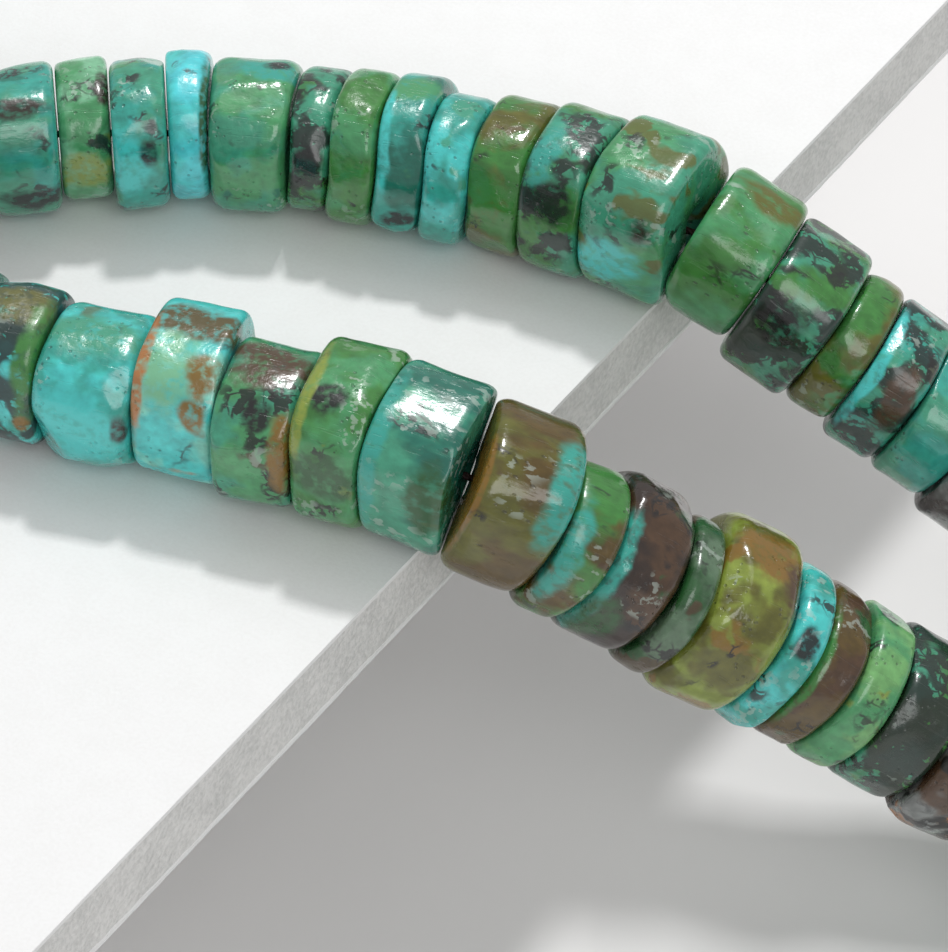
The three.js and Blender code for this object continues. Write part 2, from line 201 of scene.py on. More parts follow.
@dataclass
class Route:
    """The thread's closed route through given points, measured along its length."""

    points: tuple[Triple, ...] = (
        # far end of the necklace, on the board
        (-0.033, -0.006, ON_BOARD), (-0.031, 0.007, ON_BOARD), (-0.0235, 0.016, ON_BOARD),
        (-0.012, 0.0185, ON_BOARD), (-0.001, 0.014, ON_BOARD), (0.008, 0.0065, ON_BOARD),
        (0.018, 0.0, ON_BOARD), (0.0285, -0.0045, ON_BOARD),
        # back strand, on the board
        (0.037, -0.0046, ON_BOARD), (0.044, 0.0, ON_BOARD), (0.052, 0.0052, ON_BOARD),
        (0.0605, 0.0084, ON_BOARD), (0.0685, 0.0108, ON_BOARD), (0.074, 0.0119, ON_BOARD),
        # back strand, over the edge and down
        (0.078, 0.0124, ON_BOARD), (0.0822, 0.013, 0.0331), (0.0865, 0.0137, 0.0304),
        (0.091, 0.0144, 0.0277), (0.096, 0.0154, 0.0245), (0.103, 0.0172, 0.0192),
        (0.110, 0.0196, 0.0134), (0.118, 0.0228, 0.0082), (0.127, 0.0258, 0.0054),
        (0.136, 0.0274, ON_FLOOR),
        # end loop, on the floor
        (0.146, 0.0255, ON_FLOOR), (0.1525, 0.0185, ON_FLOOR), (0.153, 0.009, ON_FLOOR),
        (0.147, 0.0015, ON_FLOOR), (0.138, -0.002, ON_FLOOR), (0.1295, -0.0015, 0.0052),
        (0.122, 0.0002, 0.0068),
        # front strand, up to the edge
        (0.1145, 0.0022, 0.0098), (0.1075, 0.0024, 0.0139), (0.1015, -0.0001, 0.0179),
        (0.0955, -0.0031, 0.0224), (0.0895, -0.0062, 0.0268), (0.0845, -0.0088, 0.0307),
        (0.0805, -0.0109, 0.0337), (0.076, -0.0122, ON_BOARD),
        # front strand, on the board
        (0.068, -0.014, ON_BOARD), (0.058, -0.0172, ON_BOARD), (0.0485, -0.0196, ON_BOARD),
        (0.038, -0.0225, ON_BOARD), (0.028, -0.025, ON_BOARD), (0.017, -0.0275, ON_BOARD),
        (0.006, -0.0295, ON_BOARD), (-0.006, -0.0305, ON_BOARD), (-0.017, -0.028, ON_BOARD),
        (-0.0265, -0.022, ON_BOARD), (-0.032, -0.014, ON_BOARD),
    )
    samples: int = 4000
    reach: float = 1 * MM
    places: list[Vector] = field(default_factory=list)
    arcs: list[float] = field(default_factory=list)

    def __post_init__(self) -> None:
        """Samples the curve and adds up its length."""
        self.places = [self._curve(i / self.samples) for i in range(self.samples + 1)]
        self.arcs = [0.0]
        for before, after in zip(self.places, self.places[1:]):
            self.arcs.append(self.arcs[-1] + (after - before).length)

    def _curve(self, share: float) -> Vector:
        """Gives a point of the smooth closed curve.

        Args:
            share: How far round the curve, from 0 to 1.

        Returns:
            The point in metres.
        """
        count = len(self.points)
        place = share * count
        first = math.floor(place)
        w = place - first
        a, b, c, d = (Vector(self.points[(first + k) % count]) for k in (-1, 0, 1, 2))
        leave, arrive = (c - a) / 2, (d - b) / 2
        square = 3 * (c - b) - 2 * leave - arrive
        cube = 2 * (b - c) + leave + arrive
        return b + leave * w + square * w**2 + cube * w**3

    @property
    def length(self) -> float:
        """Gives the thread's whole length."""
        return self.arcs[-1]

    def at(self, arc: float) -> Vector:
        """Gives the point at an arc length.

        Args:
            arc: The arc length in metres; it may pass the loop's ends.

        Returns:
            The point in metres.
        """
        wanted = arc % self.length
        low, high = 0, self.samples
        while high - low > 1:
            middle = (low + high) // 2
            if self.arcs[middle] <= wanted:
                low = middle
            else:
                high = middle
        share = (wanted - self.arcs[low]) / (self.arcs[high] - self.arcs[low])
        return self.places[low].lerp(self.places[high], share)

    def direction(self, arc: float) -> Vector:
        """Gives the thread's direction at an arc length."""
        return (self.at(arc + self.reach) - self.at(arc - self.reach)).normalized()

    def arc_where(self, x: float, start: float, end: float) -> float:
        """Finds where the route first passes x.

        Args:
            x: The place across the board's edge.
            start: The arc length to look from.
            end: The arc length to look up to.

        Returns:
            The arc length there.
        """
        step = (end - start) / self.samples
        arc = start
        while arc < end:
            if (self.at(arc).x - x) * (self.at(arc + step).x - x) <= 0:
                return arc
            arc += step
        return end


@dataclass
class Stringer:
    """Sets beads out along the thread, rim against rim."""

    route: Route
    rest_gap: float = 0.2 * MM
    spacing: float = 0.16 * MM
    rim_contact: float = 0.93

    def place(self, bead: Nugget, arc: float, outwards: int) -> Placed:
        """Sits one bead on the thread, and on the board or the floor if it reaches them.

        Args:
            bead: The bead.
            arc: The arc length of its middle.
            outwards: 1 where the thread runs away from the board, -1 where it comes back.

        Returns:
            The bead where it sits.
        """
        along = self.route.direction(arc) * outwards
        up = (Vector((0, 0, 1)) - along * along.z).normalized()
        aside = up.cross(along)
        yaw, pitch = math.radians(bead.yaw), math.radians(bead.pitch)
        turned = along * math.cos(yaw) + aside * math.sin(yaw)
        axis = (turned * math.cos(pitch) + up * math.sin(pitch)).normalized()
        top = (up - axis * up.dot(axis)).normalized()
        beside = top.cross(axis)
        thread = self.route.at(arc)
        centre = thread + aside * bead.side
        half = bead.tall / 2 + self.rest_gap
        if thread.x < BOARD_EDGE_X and thread.z > ON_BOARD - 0.5 * MM:
            centre.z = BOARD_TOP + half
        else:
            centre.z = max(centre.z, half)
        sit = Matrix((axis, beside, top)).transposed().to_4x4()
        sit.translation = centre
        return Placed(bead, arc, sit, sit.inverted() @ thread)

    def clearance(self, item: Placed, neighbour: Placed | None) -> float:
        """Gives how far two beads that sit at an angle hold each other apart."""
        if neighbour is None:
            return 0.0
        reach = self.rim_contact * max(item.bead.tall, neighbour.bead.tall) / 2
        return reach * math.sin(item.axis.angle(neighbour.axis))

    def string(
        self, beads: list[Nugget], start: float, step: int, outwards: int, last: Placed | None = None
    ) -> tuple[list[Placed], float]:
        """Strings a row of beads from one arc length.

        Args:
            beads: The beads in the order that they are strung.
            start: The arc length where the row begins.
            step: 1 to go along the thread, -1 to go against it.
            outwards: The sense of the beads' own axes.
            last: The bead already on the thread before them.

        Returns:
            The beads where they sit, and the arc length where the row ends.
        """
        arc, placed = start, []
        for bead in beads:
            arc += step * (self.spacing / 2 + bead.spare + bead.thick / 2)
            arc += step * self.clearance(self.place(bead, arc, outwards), last)
            last = self.place(bead, arc, outwards)
            placed.append(last)
            arc += step * (bead.thick / 2 + self.spacing / 2)
        return placed, arc

    def fill(
        self, common: list[Nugget], start: float, end: float, before: Placed | None, after: Placed | None
    ) -> list[Placed]:
        """Fills a stretch of thread with common beads, and spreads what is left between them.

        Args:
            common: The beads to string in turn, over and over.
            start: The arc length where the stretch begins.
            end: The arc length where it ends.
            before: The bead before the stretch.
            after: The bead after it.

        Returns:
            The beads where they sit.
        """

        def finish(row: list[Nugget]) -> float:
            """Gives the arc length that a row needs, up to the bead after the stretch."""
            placed, arc = self.string(row, start, 1, 1, before)
            return arc + (self.clearance(placed[-1], after) if after else 0.0)

        beads: list[Nugget] = []
        following = [common[0]]
        while finish(following) < end:
            beads = following
            following = [*beads, common[len(beads) % len(common)]]
        spare = (end - finish(beads)) / len(beads)
        spread = [replace(bead, spare=spare) for bead in beads]
        return self.string(spread, start, 1, 1, before)[0]

    def nest(self, loop: list[Placed]) -> None:
        """Gives each pair of neighbours the wall between them, which both are ground to fit.

        Args:
            loop: Beads in order along the thread.
        """
        for one, other in zip(loop, loop[1:]):
            way = (other.frame.translation - one.frame.translation).normalized()
            senses = [1 if item.axis.dot(way) > 0 else -1 for item in (one, other)]
            faces = [
                one.frame.translation + one.axis * (senses[0] * one.bead.thick / 2),
                other.frame.translation - other.axis * (senses[1] * other.bead.thick / 2),
            ]
            normal = (one.axis * senses[0] + other.axis * senses[1]).normalized()
            middle = (faces[0] + faces[1]) / 2
            one.walls[senses[0]] = (middle, normal)
            other.walls[-senses[1]] = (middle, normal)


@dataclass
class Surface:
    """The points and faces of a mesh while it is being made, with an optional point attribute."""

    points: list[Vector] = field(default_factory=list)
    faces: list[tuple[int, ...]] = field(default_factory=list)
    spots: list[Vector] = field(default_factory=list)
    seeds: list[float] = field(default_factory=list)

    def loft(self, rings: list[list[Vector]], closed: bool = False, capped: bool = False) -> None:
        """Joins rings of equal count with quads.

        Args:
            rings: The rings in order.
            closed: Whether the last ring joins the first.
            capped: Whether the first and last rings are filled.
        """
        base, sides = len(self.points), len(rings[0])
        for ring in rings:
            self.points.extend(ring)
        for row in range(len(rings) if closed else len(rings) - 1):
            here, there = base + row * sides, base + (row + 1) % len(rings) * sides
            for i in range(sides):
                j = (i + 1) % sides
                self.faces.append((here + i, here + j, there + j, there + i))
        if capped:
            end = base + (len(rings) - 1) * sides
            self.faces.append(tuple(base + i for i in reversed(range(sides))))
            self.faces.append(tuple(end + i for i in range(sides)))

    def make(self, name: str, place: Matrix | None = None, smooth: bool = True) -> bpy.types.Object:
        """Makes the object.

        Args:
            name: The piece's name.
            place: Its frame in the row's frame, if the points are local to it.
            smooth: Whether its faces are shaded smooth.

        Returns:
            The object, linked to the scene.
        """
        mesh = bpy.data.meshes.new(name)
        mesh.from_pydata([tuple(p) for p in self.points], [], self.faces)
        mesh.update()
        mesh.polygons.foreach_set("use_smooth", [smooth] * len(mesh.polygons))
        if self.spots:
            spot = mesh.attributes.new("spot", "FLOAT_VECTOR", "POINT")
            spot.data.foreach_set("vector", [part for p in self.spots for part in p])
            seed = mesh.attributes.new("seed", "FLOAT", "POINT")
            seed.data.foreach_set("value", self.seeds)
        piece = bpy.data.objects.new(name, mesh)
        bpy.context.scene.collection.objects.link(piece)
        if place is not None:
            piece.matrix_world = place
        return piece


@dataclass
class NuggetMaker:
    """Shapes nuggets: rounded rims, lumps, ground facets, wavy faces and a drilled hole."""

    sides: int = 96
    face_rings: int = 4
    rim_rings: int = 6
    side_rings: int = 12
    bore: float = 0.16
    wall_gap: float = 0.05 * MM
    grow: float = 1.1 * MM
    lump: float = 0.16 * MM
    ripple: float = 0.035 * MM

    def profile(self, bead: Nugget) -> list[tuple[float, float, float]]:
        """Gives the lathed section as share of radius, inset from the outline, and place along.

        Args:
            bead: The bead.

        Returns:
            The section from the bore's one end, over the outside, back to the bore.
        """
        half = bead.thick / 2
        rim = min(bead.rim, half * 0.62)
        section: list[tuple[float, float, float]] = []
        for ring in range(self.face_rings):
            share = self.bore + (1 - self.bore) * ring / self.face_rings
            section.append((share, rim * share, -half))
        for ring in range(self.rim_rings + 1):
            turn = math.pi / 2 * ring / self.rim_rings
            section.append((1, rim * (1 - math.sin(turn)), rim * (1 - math.cos(turn)) - half))
        for ring in range(1, self.side_rings):
            section.append((1, 0, (half - rim) * (2 * ring / self.side_rings - 1)))
        mirrored = [(share, inset, -x) for share, inset, x in reversed(section)]
        return section + mirrored[self.side_rings - 1 :]

    def fit(self, item: Placed, point: Vector) -> float:
        """Gives where a point of a bead lies along it once its faces are ground to its neighbours'.

        Args:
            item: The bead where it sits.
            point: The point on the plain bead, in its own frame.

        Returns:
            The point's new place along the bead.
        """
        sense = 1 if point.x > 0 else -1
        if sense not in item.walls:
            return point.x
        back = item.frame.inverted()
        middle, normal = back @ item.walls[sense][0], back.to_3x3() @ item.walls[sense][1]
        wall = middle.x - (normal.y * (point.y - middle.y) + normal.z * (point.z - middle.z)) / normal.x
        half = item.bead.thick / 2
        extra = min(self.grow, max(-0.1 * half, sense * wall - self.wall_gap - half))
        return point.x * (half + extra) / half

    def worn(self, seed: float) -> list[Cut]:
        """Gives the small flats that every hand-ground bead has."""
        chance = random.Random(round(seed * 1000))
        flats = []
        for _ in range(4):
            turn = chance.uniform(0, 2 * math.pi)
            direction = (chance.uniform(-0.5, 0.5), math.cos(turn), math.sin(turn))
            flats.append(Cut(direction, chance.uniform(0.03, 0.075)))
        return flats

    def rings(self, item: Placed, seed: float) -> tuple[list[list[Vector]], list[list[Vector]]]:
        """Shapes one bead.

        Args:
            item: The bead where it sits.
            seed: Sets its lumps apart from other beads'.

        Returns:
            The rings in the bead's own frame, and where each point is on the unworn bead.
        """
        bead = item.bead
        offset = Vector((seed * 17.3, seed * 5.1, seed * 9.7))
        shaped, spots = [], []
        section = self.profile(bead)
        for share, inset, x in section:
            ring, spot_ring = [], []
            for side in range(self.sides):
                angle = 2 * math.pi * side / self.sides
                reach = share * bead.outline(angle) - inset
                y, z = reach * math.cos(angle), reach * math.sin(angle)
                if share <= self.bore:
                    y, z = y + item.bore.y, z + item.bore.z
                point = Vector((x, y, z))
                spot_ring.append(point / MM)
                near = point / MM + offset
                lumps = noise.noise(near * 0.24) - 0.5
                ripples = noise.noise(near * 0.9)
                if share > self.bore:
                    radial = Vector((0, y, z)).normalized()
                    point += radial * (self.lump * (lumps - 0.2) * 1.6 + self.ripple * (ripples - 0.5))
                    point.x = self.fit(item, point) + bead.wave * math.sin(2.6 * z / (bead.tall / 2) + 0.8)
                ring.append(point)
            shaped.append(ring)
            spots.append(spot_ring)
        for cut in (*bead.cuts, *self.worn(seed)):
            normal = Vector(cut.direction).normalized()
            limit = (1 - cut.depth) * max(p.dot(normal) for ring in shaped for p in ring)
            soft = 0.1 * MM
            for ring, (share, _, _) in zip(shaped, section):
                if share <= self.bore:
                    continue
                for point in ring:
                    over = point.dot(normal) - limit
                    if over > -soft:
                        point -= normal * (over if over > soft else (over + soft) ** 2 / (4 * soft))
        return shaped, spots

    def add(self, surface: Surface, item: Placed, seed: float, own_frame: bool) -> None:
        """Adds one bead to a mesh.

        Args:
            surface: The mesh.
            item: The bead where it sits.
            seed: Sets it apart from other beads.
            own_frame: Whether the mesh is in the bead's own frame.
        """
        rings, spots = self.rings(item, seed)
        if not own_frame:
            rings = [[item.frame @ point for point in ring] for ring in rings]
        surface.loft(rings, closed=True)
        for ring in spots:
            surface.spots.extend(ring)
            surface.seeds.extend([seed] * len(ring))


class Group:
    """A shader node group in the making, with helpers that place and link its nodes."""

    def __init__(self, name: str) -> None:
        """Starts an empty group."""
        self.tree = bpy.data.node_groups.new(name, "ShaderNodeTree")
        self.source = self.tree.nodes.new("NodeGroupInput")
        self.sink = self.tree.nodes.new("NodeGroupOutput")

    def takes(self, name: str, kind: str, value: object = None) -> None:
        """Adds a named input with its usual value."""
        socket = self.tree.interface.new_socket(name, in_out="INPUT", socket_type=f"NodeSocket{kind}")
        if value is not None:
            socket.default_value = value

    def gives(self, name: str, kind: str) -> None:
        """Adds a named output."""
        self.tree.interface.new_socket(name, in_out="OUTPUT", socket_type=f"NodeSocket{kind}")

    def given(self, name: str) -> bpy.types.NodeSocket:
        """Gives the inner socket of one of the group's inputs."""
        return self.source.outputs[name]

    def put(self, name: str, value: bpy.types.NodeSocket) -> None:
        """Links a value to one of the group's outputs."""
        self.tree.links.new(value, self.sink.inputs[name])


@dataclass
class Wiring:
    """Short ways of placing nodes in one tree."""

    tree: bpy.types.NodeTree

    def node(self, kind: str, settings: dict[str, object], links: dict[object, object]) -> bpy.types.Node:
        """Places a node.

        Args:
            kind: The node's type without its prefix.
            settings: The node's own properties.
            links: A socket or a plain value for each input, by name or number.

        Returns:
            The node.
        """
        made = self.tree.nodes.new(f"ShaderNode{kind}")
        for key, value in settings.items():
            setattr(made, key, value)
        for key, value in links.items():
            if isinstance(value, bpy.types.NodeSocket):
                self.tree.links.new(value, made.inputs[key])
            else:
                made.inputs[key].default_value = value
        return made

    def math(self, operation: str, *values: object) -> bpy.types.NodeSocket:
        """Places a Math node and gives its result."""
        made = self.node("Math", {"operation": operation}, dict(enumerate(values)))
        return made.outputs[0]

    def vector(self, operation: str, *values: object) -> bpy.types.Node:
        """Places a Vector Math node."""
        links = {3 if operation == "SCALE" and i == 1 else i: v for i, v in enumerate(values)}
        return self.node("VectorMath", {"operation": operation}, links)

    def noise(
        self, place: object, scale: float, detail: float = 3, shift: float = 0.0
    ) -> bpy.types.NodeSocket:
        """Places a Noise Texture, shifted to set it apart from others, and gives its value."""
        if shift:
            place = self.vector("ADD", place, (shift, -2 * shift, 3 * shift)).outputs[0]
        made = self.node("TexNoise", {}, {"Vector": place, "Scale": scale, "Detail": detail})
        return made.outputs[0]

    def apart(self, place: object, seed: object) -> bpy.types.NodeSocket:
        """Moves a place far off by a seed, so that each bead has a pattern of its own."""
        far = self.vector("SCALE", (17.3, -9.1, 23.7), seed)
        return self.vector("ADD", place, far.outputs[0]).outputs[0]

    def ramp(self, value: object, low: object, high: object) -> bpy.types.NodeSocket:
        """Gives a smooth step from 0 at low to 1 at high."""
        made = self.node(
            "MapRange", {"interpolation_type": "SMOOTHSTEP"},
            {"Value": value, "From Min": low, "From Max": high},
        )
        return made.outputs[0]

    def mix(self, share: object, first: object, second: object, how: str = "MIX") -> bpy.types.NodeSocket:
        """Mixes two colours."""
        made = self.node(
            "Mix", {"data_type": "RGBA", "blend_type": how}, {0: share, 6: first, 7: second}
        )
        return made.outputs[2]

    def group(self, tree: bpy.types.NodeTree, links: dict[str, object]) -> bpy.types.Node:
        """Places a node group with its inputs."""
        made = self.tree.nodes.new("ShaderNodeGroup")
        made.node_tree = tree
        for key, value in links.items():
            if isinstance(value, bpy.types.NodeSocket):
                self.tree.links.new(value, made.inputs[key])
            else:
                made.inputs[key].default_value = value
        return made


def stone_group() -> bpy.types.NodeTree:
    """Builds the group that colours, dulls and pits a polished turquoise with its matrix."""
    made = Group("turquoise stone")
    made.takes("Place", "Vector")
    made.takes("Seed", "Float", 0.0)
    for name in ("Body", "Second", "Patch", "Web", "Chalk"):
        made.takes(f"{name} Color", "Color", (0.1, 0.3, 0.3, 1))
    for name, value in (("Patches", 0.2), ("Matrix", 0.1), ("Dust", 0.3), ("Gloss", 0.2)):
        made.takes(name, "Float", value)
    made.gives("Color", "Color")
    made.gives("Roughness", "Float")
    made.gives("Height", "Float")
    w = Wiring(made.tree)
    place = w.apart(made.given("Place"), made.given("Seed"))
    warp = w.node("TexNoise", {}, {"Vector": place, "Scale": 0.5, "Detail": 2})
    bent = w.vector("MULTIPLY_ADD", warp.outputs[1], (1.7, 1.7, 1.7), place).outputs[0]

    clouds = w.noise(bent, 0.3, 3)
    colour = w.mix(w.ramp(clouds, 0.43, 0.58), made.given("Body Color"), made.given("Second Color"))
    fine = w.noise(place, 1.5, 4, 19.0)
    shade = w.node(
        "MapRange", {}, {"Value": fine, "From Min": 0.3, "From Max": 0.7, "To Min": 0.72, "To Max": 1.18}
    )
    tint = w.node("CombineColor", {}, {0: shade.outputs[0], 1: shade.outputs[0], 2: shade.outputs[0]})
    colour = w.mix(0.85, colour, tint.outputs[0], "MULTIPLY")

    blots = w.noise(bent, 0.34, 3, 7.0)
    edge = w.math("SUBTRACT", 0.74, w.math("MULTIPLY", made.given("Patches"), 0.42))
    patch = w.ramp(blots, edge, w.math("ADD", edge, 0.06))
    colour = w.mix(w.math("MULTIPLY", patch, 0.85), colour, made.given("Patch Color"))

    cells = w.node("TexVoronoi", {"feature": "DISTANCE_TO_EDGE"}, {"Vector": bent, "Scale": 0.8})
    where = w.noise(bent, 0.42, 2, 13.0)
    reach = w.math("SUBTRACT", 0.76, w.math("MULTIPLY", made.given("Matrix"), 0.5))
    near = w.ramp(where, w.math("SUBTRACT", reach, 0.12), reach)
    line = w.math("SUBTRACT", 1.0, w.ramp(cells.outputs["Distance"], 0.01, 0.09))
    crowded = w.math("ADD", fine, w.math("MULTIPLY", where, 0.7))
    blotch = w.ramp(crowded, w.math("ADD", reach, 0.27), w.math("ADD", reach, 0.33))
    web = w.math("MULTIPLY", w.math("MAXIMUM", line, blotch), near)
    colour = w.mix(w.math("MULTIPLY", web, 0.92), colour, made.given("Web Color"))

    flecks = w.ramp(w.noise(place, 1.7, 3, 23.0), 0.55, 0.6)
    areas = w.noise(place, 0.35, 1, 29.0)
    open_at = w.math("SUBTRACT", 0.72, w.math("MULTIPLY", made.given("Dust"), 0.34))
    dust = w.math("MULTIPLY", flecks, w.ramp(areas, open_at, w.math("ADD", open_at, 0.1)))
    colour = w.mix(w.math("MULTIPLY", dust, 0.45), colour, made.given("Chalk Color"))

    pits = w.node("TexVoronoi", {"feature": "F1"}, {"Vector": place, "Scale": 2.1})
    some = w.ramp(areas, 0.5, 0.58)
    pit = w.math("MULTIPLY", w.math("SUBTRACT", 1.0, w.ramp(pits.outputs["Distance"], 0.1, 0.26)), some)
    colour = w.mix(w.math("MULTIPLY", pit, 0.45), colour, made.given("Web Color"))
    drawn = w.vector("MULTIPLY", place, (0.5, 5.0, 1.2)).outputs[0]
    scratch = w.ramp(w.noise(drawn, 1.3, 1), 0.64, 0.7)

    rough = w.math("ADD", made.given("Gloss"), w.math("MULTIPLY", dust, 0.35))
    rough = w.math("ADD", rough, w.math("MULTIPLY", web, 0.08))
    rough = w.math("ADD", rough, w.math("MULTIPLY", pit, 0.25))
    rough = w.math("ADD", rough, w.math("MULTIPLY", scratch, 0.12))
    made.put("Color", colour)
    made.put("Roughness", rough)
    height = w.math("SUBTRACT", w.math("MULTIPLY", fine, 0.7), pit)
    made.put("Height", w.math("SUBTRACT", height, w.math("MULTIPLY", scratch, 0.2)))
    return made.tree


def zone_group() -> bpy.types.NodeTree:
    """Builds the group that marks one ragged patch on a stone."""
    made = Group("stone zone")
    made.takes("Place", "Vector")
    made.takes("Seed", "Float", 0.0)
    made.takes("Centre", "Vector")
    made.takes("Reach", "Vector", (1, 1, 1))
    made.takes("Softness", "Float", 0.3)
    made.gives("Mask", "Float")
    w = Wiring(made.tree)
    away = w.vector("SUBTRACT", made.given("Place"), made.given("Centre")).outputs[0]
    off = w.vector("DIVIDE", away, made.given("Reach"))
    length = w.vector("LENGTH", off.outputs[0]).outputs["Value"]
    ragged = w.noise(w.apart(made.given("Place"), made.given("Seed")), 0.6, 3)
    far = w.math("ADD", length, w.math("MULTIPLY", w.math("SUBTRACT", ragged, 0.5), 1.5))
    softness = made.given("Softness")
    mask = w.ramp(far, w.math("SUBTRACT", 1.0, softness), w.math("ADD", 1.0, softness))
    made.put("Mask", w.math("SUBTRACT", 1.0, mask))
    return made.tree


def grain_group() -> bpy.types.NodeTree:
    """Builds the group that gives card, foam and metal their fine uneven tone and tooth."""
    made = Group("surface grain")
    made.takes("Place", "Vector")
    made.takes("Scale", "Float", 1.0)
    made.takes("Tone Color", "Color", (0.8, 0.8, 0.8, 1))
    made.takes("Dark Color", "Color", (0.5, 0.5, 0.5, 1))
    made.takes("Amount", "Float", 0.3)
    made.takes("Roughness", "Float", 0.6)
    for name, kind in (("Color", "Color"), ("Roughness", "Float"), ("Height", "Float")):
        made.gives(name, kind)
    w = Wiring(made.tree)
    place = w.vector("SCALE", made.given("Place"), made.given("Scale")).outputs[0]
    coarse, fine = w.noise(place, 0.35, 2), w.noise(place, 3.0, 4, 3.0)
    both = w.math("ADD", w.math("MULTIPLY", coarse, 0.35), w.math("MULTIPLY", fine, 0.65))
    share = w.math("MULTIPLY", w.ramp(both, 0.35, 0.7), made.given("Amount"))
    made.put("Color", w.mix(share, made.given("Tone Color"), made.given("Dark Color")))
    made.put("Roughness", w.math("ADD", made.given("Roughness"), w.math("MULTIPLY", share, 0.3)))
    made.put("Height", both)
    return made.tree


class Dresser:
    """Makes the materials from the shared groups."""

    def __init__(self) -> None:
        """Builds the groups once."""
        self.stone_tree = stone_group()
        self.zone_tree = zone_group()
        self.grain_tree = grain_group()

    def _start(self, name: str) -> tuple[bpy.types.Material, Wiring, bpy.types.Node]:
        """Starts a material with a Principled BSDF and gives it, its wiring and the shader."""
        material = bpy.data.materials.new(name)
        material.use_nodes = True
        return material, Wiring(material.node_tree), material.node_tree.nodes["Principled BSDF"]

    def stone(self, name: str, stone: Stone, bead: Nugget | None, seed: float) -> bpy.types.Material:
        """Makes a polished stone.

        Args:
            name: The material's name.
            stone: Its colours and blemishes.
            bead: The bead whose sizes its zones are shares of, or None where it has none.
            seed: Sets its zones and their grain apart from other beads'; it is not used where there is no
                bead.

        Returns:
            The material.
        """
        material, w, shader = self._start(name)
        place = w.node("Attribute", {"attribute_name": "spot"}, {}).outputs["Vector"]
        own = w.node("Attribute", {"attribute_name": "seed"}, {}).outputs["Fac"]
        body = w.group(self.stone_tree, {
            "Place": place, "Seed": own,
            "Body Color": stone.body.linear, "Second Color": stone.second.linear,
            "Patch Color": stone.patch.linear, "Web Color": Hue.BLACK.linear,
            "Chalk Color": Hue.CHALK.linear, "Patches": stone.patches, "Matrix": stone.matrix,
            "Dust": stone.chalk, "Gloss": stone.gloss,
        })
        colour = body.outputs["Color"]
        if bead is not None:
            half = Vector((bead.thick, bead.wide, bead.tall)) / 2 / MM
            grain = w.node("MapRange", {}, {
                "Value": w.noise(place, 1.8, 3, seed), "From Min": 0.34, "From Max": 0.52,
                "To Min": 0.45, "To Max": 0.97,
            }).outputs[0]
            for number, zone in enumerate(stone.zones):
                mask = w.group(self.zone_tree, {
                    "Place": place, "Seed": seed + number * 3.7,
                    "Centre": zone.place * half, "Reach": zone.reach * half, "Softness": zone.soft,
                }).outputs["Mask"]
                colour = w.mix(w.math("MULTIPLY", mask, grain), colour, zone.hue.linear)
        bump = w.node("Bump", {}, {"Height": body.outputs["Height"], "Strength": 0.5, "Distance": 0.00014})
        w.tree.links.new(colour, shader.inputs["Base Color"])
        w.tree.links.new(body.outputs["Roughness"], shader.inputs["Roughness"])
        w.tree.links.new(bump.outputs["Normal"], shader.inputs["Normal"])
        shader.inputs["IOR"].default_value = 1.6
        shader.inputs["Coat Weight"].default_value = 0.3
        shader.inputs["Coat Roughness"].default_value = 0.09
        return material

    def grained(
        self, name: str, tone: Hue, dark: Hue, scale: float, amount: float,
        roughness: float, bump: float, metal: float = 0.0,
    ) -> bpy.types.Material:
        """Makes a plain finish with a fine grain.

        Args:
            name: The material's name.
            tone: Its main colour.
            dark: The colour of its grain.
            scale: The grain's scale, 1 for about a millimetre.
            amount: How strongly the grain shows.
            roughness: The roughness.
            bump: The grain's relief in metres.
            metal: 1 for metal.

        Returns:
            The material.
        """
        material, w, shader = self._start(name)
        coords = w.node("TexCoord", {}, {}).outputs["Object"]
        place = w.vector("SCALE", coords, 1 / MM).outputs[0]
        made = w.group(self.grain_tree, {
            "Place": place, "Scale": scale, "Tone Color": tone.linear, "Dark Color": dark.linear,
            "Amount": amount, "Roughness": roughness,
        })
        relief = w.node("Bump", {}, {"Height": made.outputs["Height"], "Strength": 0.6, "Distance": bump})
        w.tree.links.new(made.outputs["Color"], shader.inputs["Base Color"])
        w.tree.links.new(made.outputs["Roughness"], shader.inputs["Roughness"])
        w.tree.links.new(relief.outputs["Normal"], shader.inputs["Normal"])
        shader.inputs["Metallic"].default_value = metal
        return material


def nugget(
    thick: float, wide: float, tall: float, side: float, yaw: float, pitch: float, square: float,
    spare: float, stone: Stone, wave: float = 0.0, rim: float = 0.6, cuts: tuple[Cut, ...] = (),
) -> Nugget:
    """Makes a nugget from millimetres and degrees.

    Args:
        thick: Its length on the thread.
        wide: Its width.
        tall: Its height.
        side: How far it stands off the thread, towards +Y.
        yaw: How far it is turned aside.
        pitch: How far it is tipped up.
        square: 2 for an oval outline, 3 for flattened sides.
        spare: Slack on the thread, on the side towards the bend.
        stone: Its stone.
        wave: How wavy its faces are.
        rim: How round its rims are.
        cuts: Its ground facets.

    Returns:
        The nugget.
    """
    return Nugget(
        thick * MM, wide * MM, tall * MM, side * MM, yaw, pitch, square, spare * MM,
        wave * MM, rim * MM, stone, cuts,
    )


# Short names for the tables of beads
H, S, Z = Hue, Stone, Zone

